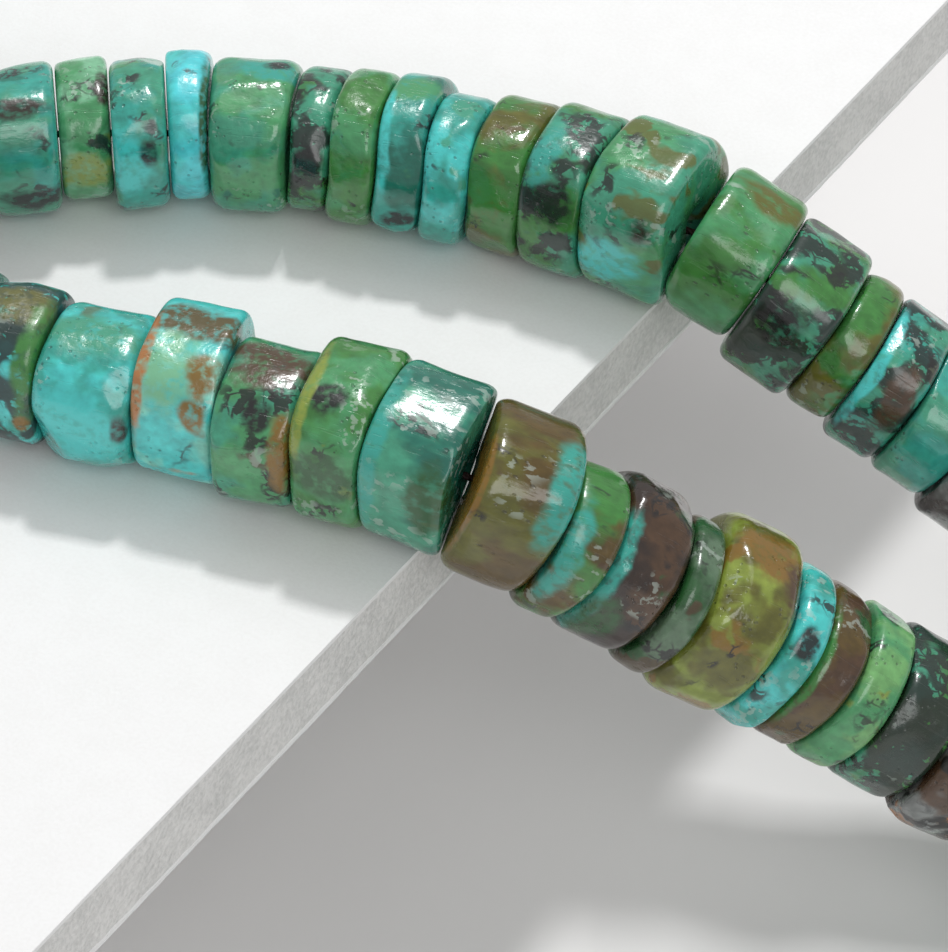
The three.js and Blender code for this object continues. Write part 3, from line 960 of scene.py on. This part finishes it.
FRONT_ON_BOARD = [
    nugget(4.0, 8.8, 9.2, 0.6, 0, 0, 2.2, 0, S(H.DEEP_TEAL, H.TEAL, H.BROWN, 0.4, 0.45, zones=(
        Z(H.DARK_BROWN, 0.2, 0.75, 1.0, 0.4), Z(H.BLACK, 0.7, -0.5, 0.5, 0.4)))),
    nugget(4.2, 8.8, 9.0, 0.1, 3, 0, 2.2, 0, S(H.TEAL, H.TURQUOISE, H.OLIVE, 0.2, 0.62, 0.4, 0.24, zones=(
        Z(H.OLIVE, 0.3, 0.75, 1.0, 0.32), Z(H.GREEN, 0.8, 0.1, 0.4, 0.8), Z(H.BLACK, -0.5, -0.4, 0.6, 0.3),
        Z(H.GOLD, 0.7, -0.8, 0.25, 0.15)))),
    nugget(5.5, 8.8, 8.8, -0.1, 2, 0, 2.4, 0,
        S(H.TEAL, H.TURQUOISE, H.GREY_GREEN, 0.1, 0.0, 0.35, 0.2, zones=(
        Z(H.TURQUOISE, -0.2, -0.65, 1.1, 0.6, 0.45), Z(H.SEA, 0.1, 0.7, 1.2, 0.35, 0.4),
        Z(H.DARK_BROWN, 0.9, -0.6, 0.2, 0.22))),
        rim=0.9, cuts=(Cut((-0.55, -0.8, -0.3), 0.13),)),
    nugget(4.7, 9.2, 9.5, 0.8, 0, 0, 3.0, 0,
        S(H.TURQUOISE, H.PALE_TURQUOISE, H.OLIVE_BROWN, 0.1, 0.05, 0.4, 0.22, zones=(
        Z(H.PALE_JADE, -0.3, 0.2, 0.7, 0.5, 0.4), Z(H.OLIVE_BROWN, 0.1, 0.82, 1.3, 0.3),
        Z(H.GOLD, 0.6, 0.15, 0.42, 0.3), Z(H.GOLD, 0.55, -0.3, 0.35, 0.26),
        Z(H.RUST, -0.9, 0.1, 0.2, 0.85), Z(H.RUST, 0.2, -0.96, 0.8, 0.07))),
        rim=0.5, cuts=(Cut((0.15, -0.7, 0.7), 0.05),)),
    nugget(4.4, 8.8, 8.9, -0.4, 2, 0, 2.6, 0, S(H.JADE, H.SEA, H.BROWN, 0.2, 0.3, 0.4, 0.18, zones=(
        Z(H.BROWN, 0.0, 0.78, 1.2, 0.4), Z(H.BLACK, 0.1, 0.1, 0.38, 0.24), Z(H.GOLD, 0.85, -0.4, 0.3, 0.6))),
        rim=0.6, cuts=(Cut((0.0, -0.6, 0.8), 0.07),)),
    nugget(3.9, 9.5, 9.8, 0.1, 0, 0, 2.8, 0, S(H.GREEN, H.JADE, H.LIME, 0.2, 0.1, 0.7, 0.2, zones=(
        Z(H.BLACK, -0.2, 0.3, 0.5, 0.22), Z(H.LIME, -0.8, 0.2, 0.22, 0.9),
        Z(H.DEEP_GREEN, 0.1, -0.6, 1.0, 0.3))),
        rim=0.6, cuts=(Cut((0.1, -0.65, 0.75), 0.06),)),
    nugget(3.8, 9.4, 9.7, 0.0, -3, 0, 2.8, 0.3, S(H.DEEP_TEAL, H.SEA, H.OLIVE, 0.15, 0.1, 0.9, 0.22, zones=(
        Z(H.TEAL, -0.8, -0.1, 0.35, 1.0), Z(H.DEEP_GREEN, 0.7, -0.5, 0.4, 0.5))),
        rim=0.5, cuts=(Cut((0.1, -0.7, 0.7), 0.07),)),
]
FRONT_HANGING = [
    # The first hanging front bead's thin gold strip, at its end towards the board, is a painted highlight
    # standing for light on its rounded rim.
    nugget(3.3, 9.7, 9.9, -0.1, 3, 4, 2.4, 0.1,
        S(H.OLIVE_BROWN, H.OLIVE, H.BROWN, 0.2, 0.1, 0.4, 0.18, zones=(
        Z(H.TEAL, 0.75, 0.35, 0.4, 0.75), Z(H.GOLD, -0.98, 0.0, 0.1, 0.9)))),
    nugget(2.1, 9.2, 9.4, -0.8, 2, 2, 2.2, 0.2,
        S(H.GREEN, H.OLIVE_BROWN, H.BROWN, 0.3, 0.1, 0.7, 0.24, zones=(
        Z(H.TEAL, -0.7, -0.3, 0.4, 0.8),)), wave=0.15),
    nugget(4.1, 10.0, 10.0, -0.2, 1, 1, 2.2, 0,
        S(H.DARK_BROWN, H.BROWN, H.DEEP_GREEN, 0.3, 0.2, 0.5, 0.18, zones=(
        Z(H.TEAL, -0.85, -0.4, 0.3, 0.9), Z(H.DEEP_GREEN, -0.4, -0.8, 0.6, 0.4))), rim=0.9),
    nugget(1.9, 9.6, 9.6, -0.6, 0, 0, 2.2, 0,
        S(H.GREY_GREEN, H.DEEP_GREEN, H.BROWN, 0.4, 0.1, 0.6, 0.25), wave=0.12),
    nugget(4.8, 11.2, 11.0, 0.2, -1, 0, 2.2, 0, S(H.OLIVE, H.LIME, H.GOLD, 0.35, 0.0, 0.45, 0.16, zones=(
        Z(H.GOLD, 0.0, 0.75, 0.9, 0.35), Z(H.BROWN, 0.8, 0.6, 0.4, 0.3))),
        rim=1.1, cuts=(Cut((-0.7, -0.3, 0.7), 0.08),)),
    nugget(2.1, 9.8, 10.2, -0.2, -2, 0, 2.2, 0, S(H.TURQUOISE, H.TEAL, H.SEA, 0.1, 0.15, 0.8, 0.2, zones=(
        Z(H.BLACK, 0.0, 0.15, 0.6, 0.2),))),
    nugget(2.6, 9.6, 9.6, 0.0, -2, 0, 2.3, 0,
        S(H.OLIVE_BROWN, H.BROWN, H.DEEP_GREEN, 0.3, 0.2, 0.4, 0.17, zones=(
        Z(H.GREEN, -0.85, -0.1, 0.25, 0.9),))),
    nugget(2.6, 10.0, 10.0, 0.1, -2, 0, 2.2, 0, S(H.PALE_GREEN, H.JADE, H.LIME, 0.25, 0.22, 0.2, 0.24)),
    nugget(3.7, 9.8, 10.0, 0.3, -1, 0, 2.3, 0, S(H.SEA, H.GREEN, H.DEEP_TEAL, 0.3, 0.6, 0.4, 0.18)),
    nugget(4.2, 9.0, 9.0, -0.9, 0, 0, 2.3, 0.15, S(H.GREY, H.BROWN, H.RUST, 0.4, 0.4, 0.4, 0.24)),
    nugget(3.0, 9.2, 9.2, 0.1, 0, 0, 2.3, 0, S(H.TEAL, H.JADE, H.OLIVE, 0.3, 0.3)),
    nugget(3.6, 8.8, 9.0, -0.2, 0, 0, 2.5, 0, S(H.GREEN, H.OLIVE, H.BROWN, 0.3, 0.2)),
    nugget(2.4, 9.2, 9.2, 0.2, 0, 0, 2.2, 0, S(H.TURQUOISE, H.TEAL, H.SEA, 0.2, 0.2)),
]
BACK_ON_BOARD = [
    nugget(2.8, 8.8, 9.0, 0.0, 8, 0, 2.2, 0, S(H.GREEN, H.OLIVE, H.DARK_BROWN, 0.4, 0.5)),
    nugget(3.1, 8.8, 9.2, -0.5, 5, 0, 2.3, 0, S(H.TEAL, H.SEA, H.DEEP_TEAL, 0.2, 0.2, zones=(
        Z(H.DARK_BROWN, 0.0, 0.3, 0.9, 0.15), Z(H.BLACK, 0.2, -0.9, 0.9, 0.25)))),
    nugget(2.9, 8.6, 8.6, 0.6, 3, 0, 2.3, 0, S(H.PALE_JADE, H.JADE, H.LIME, 0.3, 0.15, zones=(
        Z(H.DARK_BROWN, 0.8, 0.5, 0.3, 0.3), Z(H.LIME, 0.0, -0.7, 1.0, 0.3)))),
    nugget(3.1, 8.8, 9.2, -0.3, 5, 0, 2.3, 0, S(H.SEA, H.TEAL, H.JADE, 0.2, 0.2, zones=(
        Z(H.TURQUOISE, -0.4, -0.5, 0.8, 0.5), Z(H.BLACK, 0.3, -0.35, 0.35, 0.2)))),
    # The deep green band over the fifth back bead's outer end is painted shade on its end face, which turns
    # away from the key light.
    nugget(2.1, 9.0, 9.4, 0.4, 3, 0, 2.2, 0, S(H.SKY, H.TURQUOISE, H.TEAL, 0.1, 0.12, 0.4, 0.22, zones=(
        Z(H.DEEP_GREEN, 0.9, 0.0, 0.3, 0.9),))),
    nugget(4.4, 8.8, 9.0, 0.0, 1, 0, 2.6, 0, S(H.JADE, H.SEA, H.DEEP_TEAL, 0.2, 0.05, 0.4, 0.15, zones=(
        Z(H.TEAL, 0.4, 0.85, 0.8, 0.25), Z(H.BLACK, 0.5, 0.92, 0.3, 0.12))), rim=0.9,
        cuts=(Cut((0.0, -0.75, 0.65), 0.05),)),
    nugget(2.3, 8.8, 8.8, 0.2, 0, 0, 2.2, 0, S(H.GREEN, H.SEA, H.BLACK, 0.25, 0.4, zones=(
        Z(H.BLACK, 0.0, -0.4, 0.8, 0.35),)), wave=0.25),
    nugget(2.7, 9.0, 9.4, -0.2, 0, 0, 2.3, 0, S(H.JADE, H.GREEN, H.SEA, 0.2, 0.05), wave=0.3),
    nugget(2.8, 9.4, 9.6, 0.1, 0, 0, 2.2, 0, S(H.TEAL, H.DEEP_TEAL, H.JADE, 0.2, 0.1, zones=(
        Z(H.JADE, 0.0, 0.8, 1.0, 0.3), Z(H.BLACK, 0.2, -0.9, 0.8, 0.15),
        Z(H.TURQUOISE, -0.7, 0.0, 0.3, 0.6))), wave=0.3),
    nugget(2.5, 9.0, 9.2, -0.4, 0, 0, 2.3, 0, S(H.TEAL, H.TURQUOISE, H.SEA, 0.3, 0.1), wave=0.3),
    nugget(3.2, 9.0, 9.2, 0.2, -4, 0, 2.5, 0, S(H.OLIVE, H.GREEN, H.OLIVE_BROWN, 0.3, 0.05, 0.4, 0.15, zones=(
        Z(H.GREEN, 0.0, -0.5, 1.0, 0.4),)), wave=0.2),
    nugget(3.7, 9.4, 9.6, 0.0, -5, 0, 2.5, 0, S(H.SEA, H.GREEN, H.DEEP_TEAL, 0.3, 0.4, zones=(
        Z(H.BLACK, 0.0, -0.3, 0.9, 0.25), Z(H.TEAL, -0.5, 0.3, 0.5, 0.4)))),
    nugget(4.4, 9.6, 10.0, 0.0, -4, 0, 2.8, 0.3, S(H.SEA, H.JADE, H.OLIVE, 0.4, 0.15, 0.5, 0.2, zones=(
        Z(H.DARK_BROWN, 0.6, -0.3, 0.25, 0.15), Z(H.TURQUOISE, -0.2, -0.8, 0.8, 0.3)))),
]
BACK_HANGING = [
    nugget(3.3, 9.2, 9.2, 0.3, 0, 3, 2.4, 0.3, S(H.GREEN, H.JADE, H.OLIVE, 0.2, 0.0, 0.3, 0.18, zones=(
        Z(H.OLIVE, 0.2, 0.85, 0.9, 0.25),))),
    nugget(4.1, 9.2, 9.6, -0.2, 1, 5, 2.7, 0, S(H.SEA, H.GREEN, H.BLACK, 0.3, 0.5, 0.5, 0.2, zones=(
        Z(H.BLACK, -0.3, -0.3, 0.6, 0.3),))),
    nugget(2.5, 8.8, 9.0, 0.1, 2, 6, 2.3, 0, S(H.OLIVE, H.GREEN, H.JADE, 0.3, 0.05)),
    nugget(3.2, 9.2, 9.6, 0.1, 3, 6, 2.3, 0, S(H.TEAL, H.SEA, H.BROWN, 0.4, 0.5, zones=(
        Z(H.TURQUOISE, -0.85, 0.0, 0.25, 0.9), Z(H.BROWN, 0.3, -0.2, 0.5, 0.45)))),
    nugget(3.3, 9.2, 9.2, 0.0, 2, 4, 2.3, 0, S(H.TEAL, H.SEA, H.JADE, 0.2, 0.0)),
    nugget(3.2, 9.0, 9.0, -0.5, 0, 2, 2.3, 0, S(H.DARK_BROWN, H.GREY, H.BROWN, 0.3, 0.3)),
    nugget(2.8, 9.2, 9.2, 0.2, 0, 0, 2.3, 0, S(H.TEAL, H.JADE, H.OLIVE, 0.3, 0.3)),
]
COMMON_NUGGETS = [
    Nugget(thick * MM, wide * MM, tall * MM, square=square, wave=wave * MM)
    for thick, wide, tall, square, wave in (
        (3.4, 9.0, 9.2, 2.4, 0.0), (2.6, 9.2, 9.0, 2.2, 0.12), (4.4, 8.8, 8.8, 2.8, 0.0),
        (3.0, 9.4, 9.2, 2.2, 0.1), (2.2, 9.0, 9.4, 2.3, 0.15), (3.8, 9.2, 9.0, 2.6, 0.0),
        (3.2, 8.6, 8.8, 2.3, 0.1), (4.8, 9.0, 9.2, 2.6, 0.0), (2.4, 9.4, 9.4, 2.2, 0.15),
        (3.6, 8.8, 9.0, 2.4, 0.0), (2.8, 9.2, 9.2, 2.3, 0.1),
    )
]
RUN_STONES = (
    S(H.TEAL, H.TURQUOISE, H.OLIVE, 0.25, 0.2), S(H.JADE, H.SEA, H.OLIVE_BROWN, 0.3, 0.15),
    S(H.GREEN, H.OLIVE, H.BROWN, 0.35, 0.3), S(H.SEA, H.GREEN, H.BLACK, 0.35, 0.6),
    S(H.OLIVE_BROWN, H.GREEN, H.GOLD, 0.3, 0.15), S(H.SKY, H.TEAL, H.SEA, 0.2, 0.15),
)


@dataclass
class Beads:
    """The whole string of stones: the separate ones of the visible strands, and the runs."""

    route: Route
    dresser: Dresser
    clasp_half: float = 6.8 * MM
    back_bend_x: float = 0.0776
    front_bend_x: float = 0.078
    beads_per_run: int = 10
    maker: NuggetMaker = field(default_factory=NuggetMaker)
    run_maker: NuggetMaker = field(
        default_factory=lambda: NuggetMaker(sides=40, face_rings=2, rim_rings=3, side_rings=4)
    )
    ends: dict[str, tuple[float, float]] = field(default_factory=dict)

    def build(self) -> list[bpy.types.Object]:
        """Strings, shapes and dresses every bead."""
        stringer, half = Stringer(self.route), self.route.length / 2
        bends = (
            self.route.arc_where(self.back_bend_x, 0, half),
            self.route.arc_where(self.front_bend_x, half, self.route.length),
        )
        rows = {}
        for name, bend, step, on_board, hanging in (
            ("back", bends[0], 1, BACK_ON_BOARD, BACK_HANGING),
            ("front", bends[1], -1, FRONT_ON_BOARD, FRONT_HANGING),
        ):
            inner, inner_end = stringer.string(on_board[::-1], bend, -step, step)
            outer, outer_end = stringer.string(hanging, bend, step, step, inner[0])
            rows[name] = (inner, outer)
            self.ends[name] = (min(inner_end, outer_end), max(inner_end, outer_end))
        self.ends["far_back"] = (self.clasp_half, self.ends["back"][0])
        self.ends["loop"] = (self.ends["back"][1], self.ends["front"][0])
        self.ends["far_front"] = (self.ends["front"][1], self.route.length - self.clasp_half)
        fills = [
            stringer.fill(COMMON_NUGGETS, *self.ends[name], before, after)
            for name, before, after in (
                ("far_back", None, rows["back"][0][-1]), ("loop", rows["back"][1][-1], rows["front"][1][-1]),
                ("far_front", rows["front"][0][-1], None),
            )
        ]
        everything = [item for pair in rows.values() for row in pair for item in row]
        everything += [item for fill in fills for item in fill]
        stringer.nest(sorted(everything, key=lambda item: item.arc))
        pieces = []
        for name, (inner, outer) in rows.items():
            pieces += self._strand(name, inner[::-1] + outer)
        number = 0
        for placed in fills:
            runs = math.ceil(len(placed) / self.beads_per_run)
            for run in range(runs):
                low, high = (math.floor((run + k) * len(placed) / runs + 0.5) for k in (0, 1))
                number += 1
                pieces.append(self._run(number, placed[low:high]))
        return pieces

    def _strand(self, name: str, items: list[Placed]) -> list[bpy.types.Object]:
        """Makes the separate beads of one strand.

        Args:
            name: The strand's name.
            items: Its beads where they sit, outwards.

        Returns:
            The pieces.
        """
        pieces = []
        for index, item in enumerate(items):
            number = f"{name}_{index + 1:02d}"
            seed = 1.0 + index * 0.731 + (20 if name == "front" else 0)
            surface = Surface()
            self.maker.add(surface, item, seed, own_frame=True)
            piece = surface.make(f"stone_{number}", item.frame)
            finish = self.dresser.stone(f"turquoise {number}", item.bead.stone, item.bead, seed)
            piece.data.materials.append(finish)
            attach(piece, "root")
            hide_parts(f"bead_{number}")
            pieces.append(piece)
            log.info("%s at %.1f mm along the thread", piece.name, item.arc / MM)
        return pieces

    def _run(self, number: int, items: list[Placed]) -> bpy.types.Object:
        """Makes one run of common beads as one piece.

        Args:
            number: The run's number.
            items: Its beads where they sit.

        Returns:
            The piece.
        """
        surface, chooser, kinds = Surface(), random.Random(number), []
        for index, item in enumerate(items):
            before = len(surface.faces)
            self.run_maker.add(surface, item, number * 11.0 + index * 1.7, own_frame=False)
            kinds += [chooser.randrange(len(RUN_STONES))] * (len(surface.faces) - before)
        piece = surface.make(f"stones_run_{number}")
        for kind, stone in enumerate(RUN_STONES):
            name = f"turquoise run {kind + 1}"
            finish = bpy.data.materials.get(name) or self.dresser.stone(name, stone, None, 0.0)
            piece.data.materials.append(finish)
        piece.data.polygons.foreach_set("material_index", kinds)
        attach(piece, "root")
        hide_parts(f"bead_run_{number}")
        log.info("%s with %d beads", piece.name, len(items))
        return piece


@dataclass
class Cord:
    """The beading thread: three plies twisted together."""

    route: Route
    dresser: Dresser
    ply: float = 0.125 * MM
    reach: float = 0.12 * MM
    lay: float = 1.6 * MM
    step: float = 0.4 * MM
    end_gap: float = 0.3 * MM

    def build(self, ends: dict[str, tuple[float, float]]) -> list[bpy.types.Object]:
        """Lays the thread through every stretch of beads.

        Args:
            ends: Each stretch's name and its two arc lengths.

        Returns:
            The pieces.
        """
        finish = self.dresser.grained("waxed thread", H.THREAD, H.BLACK, 4.0, 0.6, 0.6, 0.00003)
        pieces = []
        for name, (start, end) in ends.items():
            surface = Surface()
            for ply in range(3):
                surface.loft(self._ply(start + self.end_gap, end - self.end_gap, ply), capped=True)
            piece = surface.make(f"thread_{name}_twist")
            piece.data.materials.append(finish)
            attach(piece, "root")
            if name in ("back", "front"):
                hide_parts(f"thread_{name}")
            pieces.append(piece)
            log.info("%s over %.1f mm", piece.name, (end - start) / MM)
        return pieces

    def _ply(self, start: float, end: float, number: int) -> list[list[Vector]]:
        """Gives the rings of one ply.

        Args:
            start: The arc length where it begins.
            end: The arc length where it ends.
            number: Which of the three plies it is, from 0.

        Returns:
            The rings in order.
        """
        rings = []
        count = math.ceil((end - start) / self.step)
        for i in range(count + 1):
            arc = start + (end - start) * i / count
            along = self.route.direction(arc)
            up = (Vector((0, 0, 1)) - along * along.z).normalized()
            aside = up.cross(along)
            turn = 2 * math.pi * (arc / self.lay + number / 3)
            centre = self.route.at(arc) + self.reach * (aside * math.cos(turn) + up * math.sin(turn))
            rings.append([
                centre + self.ply * (aside * math.cos(a) + up * math.sin(a))
                for a in (2 * math.pi * k / 6 for k in range(6))
            ])
        return rings


@dataclass
class Clasp:
    """A plain barrel clasp: two fluted halves that meet at a seam, each with a neck."""

    route: Route
    dresser: Dresser
    half: float = 5.7 * MM
    radius: float = 2.6 * MM
    neck: float = 1.15 * MM
    neck_length: float = 1.8 * MM
    flutes: int = 18
    flute: float = 0.12 * MM
    sides: int = 108

    def build(self) -> bpy.types.Object:
        """Turns and flutes the barrel."""
        body = self.half - self.neck_length
        side = [(0.15 * MM, self.half), (self.neck - 0.2 * MM, self.half), (self.neck, self.half - 0.2 * MM),
                (self.neck, body + 0.3 * MM), (self.neck * 1.25, body),
                (self.radius * 0.72, body - 0.35 * MM), (self.radius * 0.93, body - 0.9 * MM),
                (self.radius, body - 1.3 * MM), (self.radius, 1.5 * MM),
                (self.radius * 0.95, 1.4 * MM), (self.radius * 0.95, 1.2 * MM), (self.radius, 1.1 * MM),
                (self.radius, 0.25 * MM), (self.radius * 0.94, 0.08 * MM)]
        profile = side + [(r, -x) for r, x in reversed(side)]
        surface = Surface()
        surface.loft([self._ring(r, x, body) for r, x in reversed(profile)], capped=True)
        along = self.route.direction(0)
        place = along.to_track_quat("X", "Z").to_matrix().to_4x4()
        place.translation = self.route.at(0)
        place.translation.z = BOARD_TOP + self.radius + 0.2 * MM
        piece = surface.make("barrel_clasp", place)
        piece.data.materials.append(
            self.dresser.grained("brushed clasp metal", H.STEEL, H.GREY, 2.0, 0.3, 0.26, 0.00002, 1.0)
        )
        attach(piece, "root")
        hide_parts("clasp")
        log.info("barrel clasp, %.1f mm long", 2 * self.half / MM)
        return piece

    def _ring(self, radius: float, x: float, body: float) -> list[Vector]:
        """Gives one ring, fluted where it is on the grip."""
        grip = 1.5 * MM <= abs(x) <= body - 1.0 * MM
        ring = []
        for k in range(self.sides):
            angle = 2 * math.pi * k / self.sides
            r = radius - (self.flute * (0.5 + 0.5 * math.cos(self.flutes * angle)) if grip else 0)
            ring.append(Vector((x, r * math.cos(angle), r * math.sin(angle))))
        return ring


@dataclass
class Board:
    """The foam board with its paper faces and hand-cut edges, and the block under it."""

    dresser: Dresser
    paper: float = 0.35 * MM
    rough: float = 0.22 * MM
    spacing: float = 0.8 * MM

    def build(self) -> bpy.types.Object:
        """Cuts the board and dresses it and its support."""
        low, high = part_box("display_board")
        layers = self._layers(high[2] - low[2])
        surface = Surface()
        rings = []
        for depth, amount in layers:
            rings.append(self._outline(low, high, low[2] + depth, amount))
        surface.loft(rings, capped=True)
        piece = surface.make("foam_board", smooth=False)
        piece.data.materials.append(
            self.dresser.grained("board paper", H.PAPER, H.FOAM, 1.4, 0.3, 0.75, 0.00004)
        )
        piece.data.materials.append(self.dresser.grained("cut foam", H.FOAM, H.GREY, 1.1, 0.3, 0.9, 0.00028))
        indices = []
        for face in piece.data.polygons:
            inside = low[2] + self.paper < face.center.z < high[2] - self.paper
            indices.append(1 if inside and abs(face.normal.z) < 0.9 else 0)
        piece.data.polygons.foreach_set("material_index", indices)
        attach(piece, "root")
        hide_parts("display_board")
        support = frame["nodes"]["board_support"]
        support.data.materials.clear()
        support.data.materials.append(
            self.dresser.grained("painted block", H.SHADE, H.FOAM, 0.6, 0.35, 0.6, 0.00008)
        )
        log.info("foam board with %d faces, on its painted block", len(piece.data.polygons))
        return piece

    def _layers(self, height: float) -> list[tuple[float, float]]:
        """Gives the depth of each layer of the cut edge, and how rough it is there."""
        core = height - 2 * self.paper
        middle = [(self.paper + core * k / 12, 1.0) for k in range(13)]
        return [(0.0, 0.5), (self.paper * 0.9, 0.25), *middle, (height - self.paper * 0.9, 0.25),
                (height - 0.06 * MM, 0.12), (height, 0.3)]

    def _outline(self, low: Vector, high: Vector, z: float, amount: float) -> list[Vector]:
        """Gives the board's outline at one height, worn inwards by its roughness.

        Args:
            low: The board's lowest corner.
            high: Its highest corner.
            z: The height.
            amount: The share of the roughness that shows there.

        Returns:
            The outline's points.
        """
        corners = [(low[0], low[1]), (high[0], low[1]), (high[0], high[1]), (low[0], high[1])]
        inwards = [(0, 1), (-1, 0), (0, -1), (1, 0)]
        ring = []
        for number, (x, y) in enumerate(corners):
            to_x, to_y = corners[(number + 1) % 4]
            count = round(math.hypot(to_x - x, to_y - y) / self.spacing)
            for k in range(count):
                share = k / count
                at = Vector((x + (to_x - x) * share, y + (to_y - y) * share, z))
                wear = 0.5 + 0.5 * noise.noise(Vector((at.x, at.y, at.z * 2.4)) / MM * 0.9)
                fine = 0.5 + 0.5 * noise.noise(Vector((at.x, at.y, at.z * 1.7)) / MM * 2.7)
                inset = self.rough * amount * (0.6 * wear + 0.4 * fine)
                ring.append(at + Vector((inwards[number][0], inwards[number][1], 0)) * inset)
        return ring


@dataclass
class Studio:
    """The pale floor, the soft light and the camera."""

    target: Triple = (0.07888, -0.01162, 0.03468)
    eye: Triple = (0.17850, -0.15766, 0.21146)
    lens: float = 170.2

    def build(self) -> None:
        """Sets up the floor, the lights and the camera."""
        self._floor()
        aim = Vector((0.07, -0.005, 0.02))
        self._light("key", aim, Vector((-0.26, 0.5, 1.0)), 0.75, 0.07, 2.6)
        self._light("soft_top", aim, Vector((-0.1, 0.45, 1.0)), 0.8, 0.5, 0.7)
        self._light("fill", aim, Vector((0.6, -0.5, 0.75)), 0.9, 0.5, 2.1)
        world = bpy.data.worlds.new("studio")
        world.use_nodes = True
        world.node_tree.nodes["Background"].inputs["Color"].default_value = (1, 1, 1, 1)
        world.node_tree.nodes["Background"].inputs["Strength"].default_value = 0.47
        bpy.context.scene.world = world
        bpy.context.scene.view_settings.view_transform = "Standard"
        data = bpy.data.cameras.new("camera")
        data.lens = self.lens
        data.sensor_width = 36
        data.clip_start = 0.01
        camera = bpy.data.objects.new("camera", data)
        camera.location = self.eye
        camera.rotation_euler = (Vector(self.target) - Vector(self.eye)).to_track_quat("-Z", "Y").to_euler()
        bpy.context.scene.collection.objects.link(camera)
        bpy.context.scene.camera = camera

    def _floor(self) -> None:
        """Lays the plain pale floor."""
        surface = Surface()
        turns = [2 * math.pi * k / FLOOR_SIDES for k in range(FLOOR_SIDES)]
        rings = [
            [Vector((FLOOR_RADIUS * r * math.cos(a), FLOOR_RADIUS * r * math.sin(a), 0)) for a in turns]
            for r in (1.0, 0.4, 0.1, 0.02)
        ]
        surface.loft(rings)
        surface.faces.append(tuple(len(surface.points) - FLOOR_SIDES + i for i in range(FLOOR_SIDES)))
        floor = surface.make("floor")
        material = bpy.data.materials.new("pale floor")
        material.use_nodes = True
        shader = material.node_tree.nodes["Principled BSDF"]
        shader.inputs["Base Color"].default_value = (0.79, 0.78, 0.775, 1)
        shader.inputs["Roughness"].default_value = 0.55
        floor.data.materials.append(material)

    def _light(self, name: str, aim: Vector, way: Vector, far: float, size: float, power: float) -> None:
        """Hangs one square light.

        Args:
            name: The light's name.
            aim: What it points at.
            way: The direction from there to the light.
            far: Its distance.
            size: Its side.
            power: Its power in watts.
        """
        data = bpy.data.lights.new(name, "AREA")
        data.size = size
        data.energy = power
        light = bpy.data.objects.new(name, data)
        light.location = aim + way.normalized() * far
        light.rotation_euler = way.to_track_quat("Z", "Y").to_euler()
        bpy.context.scene.collection.objects.link(light)


def main() -> None:
    """Builds the necklace, the board and the studio."""
    logging.basicConfig(level=logging.INFO, format="%(name)s: %(message)s")
    Studio().build()
    dresser, route = Dresser(), Route()
    log.info("thread %.1f mm round", route.length / MM)
    Board(dresser).build()
    beads = Beads(route, dresser)
    beads.build()
    Cord(route, dresser).build(beads.ends)
    Clasp(route, dresser).build()


if __name__ == "__main__":
    main()
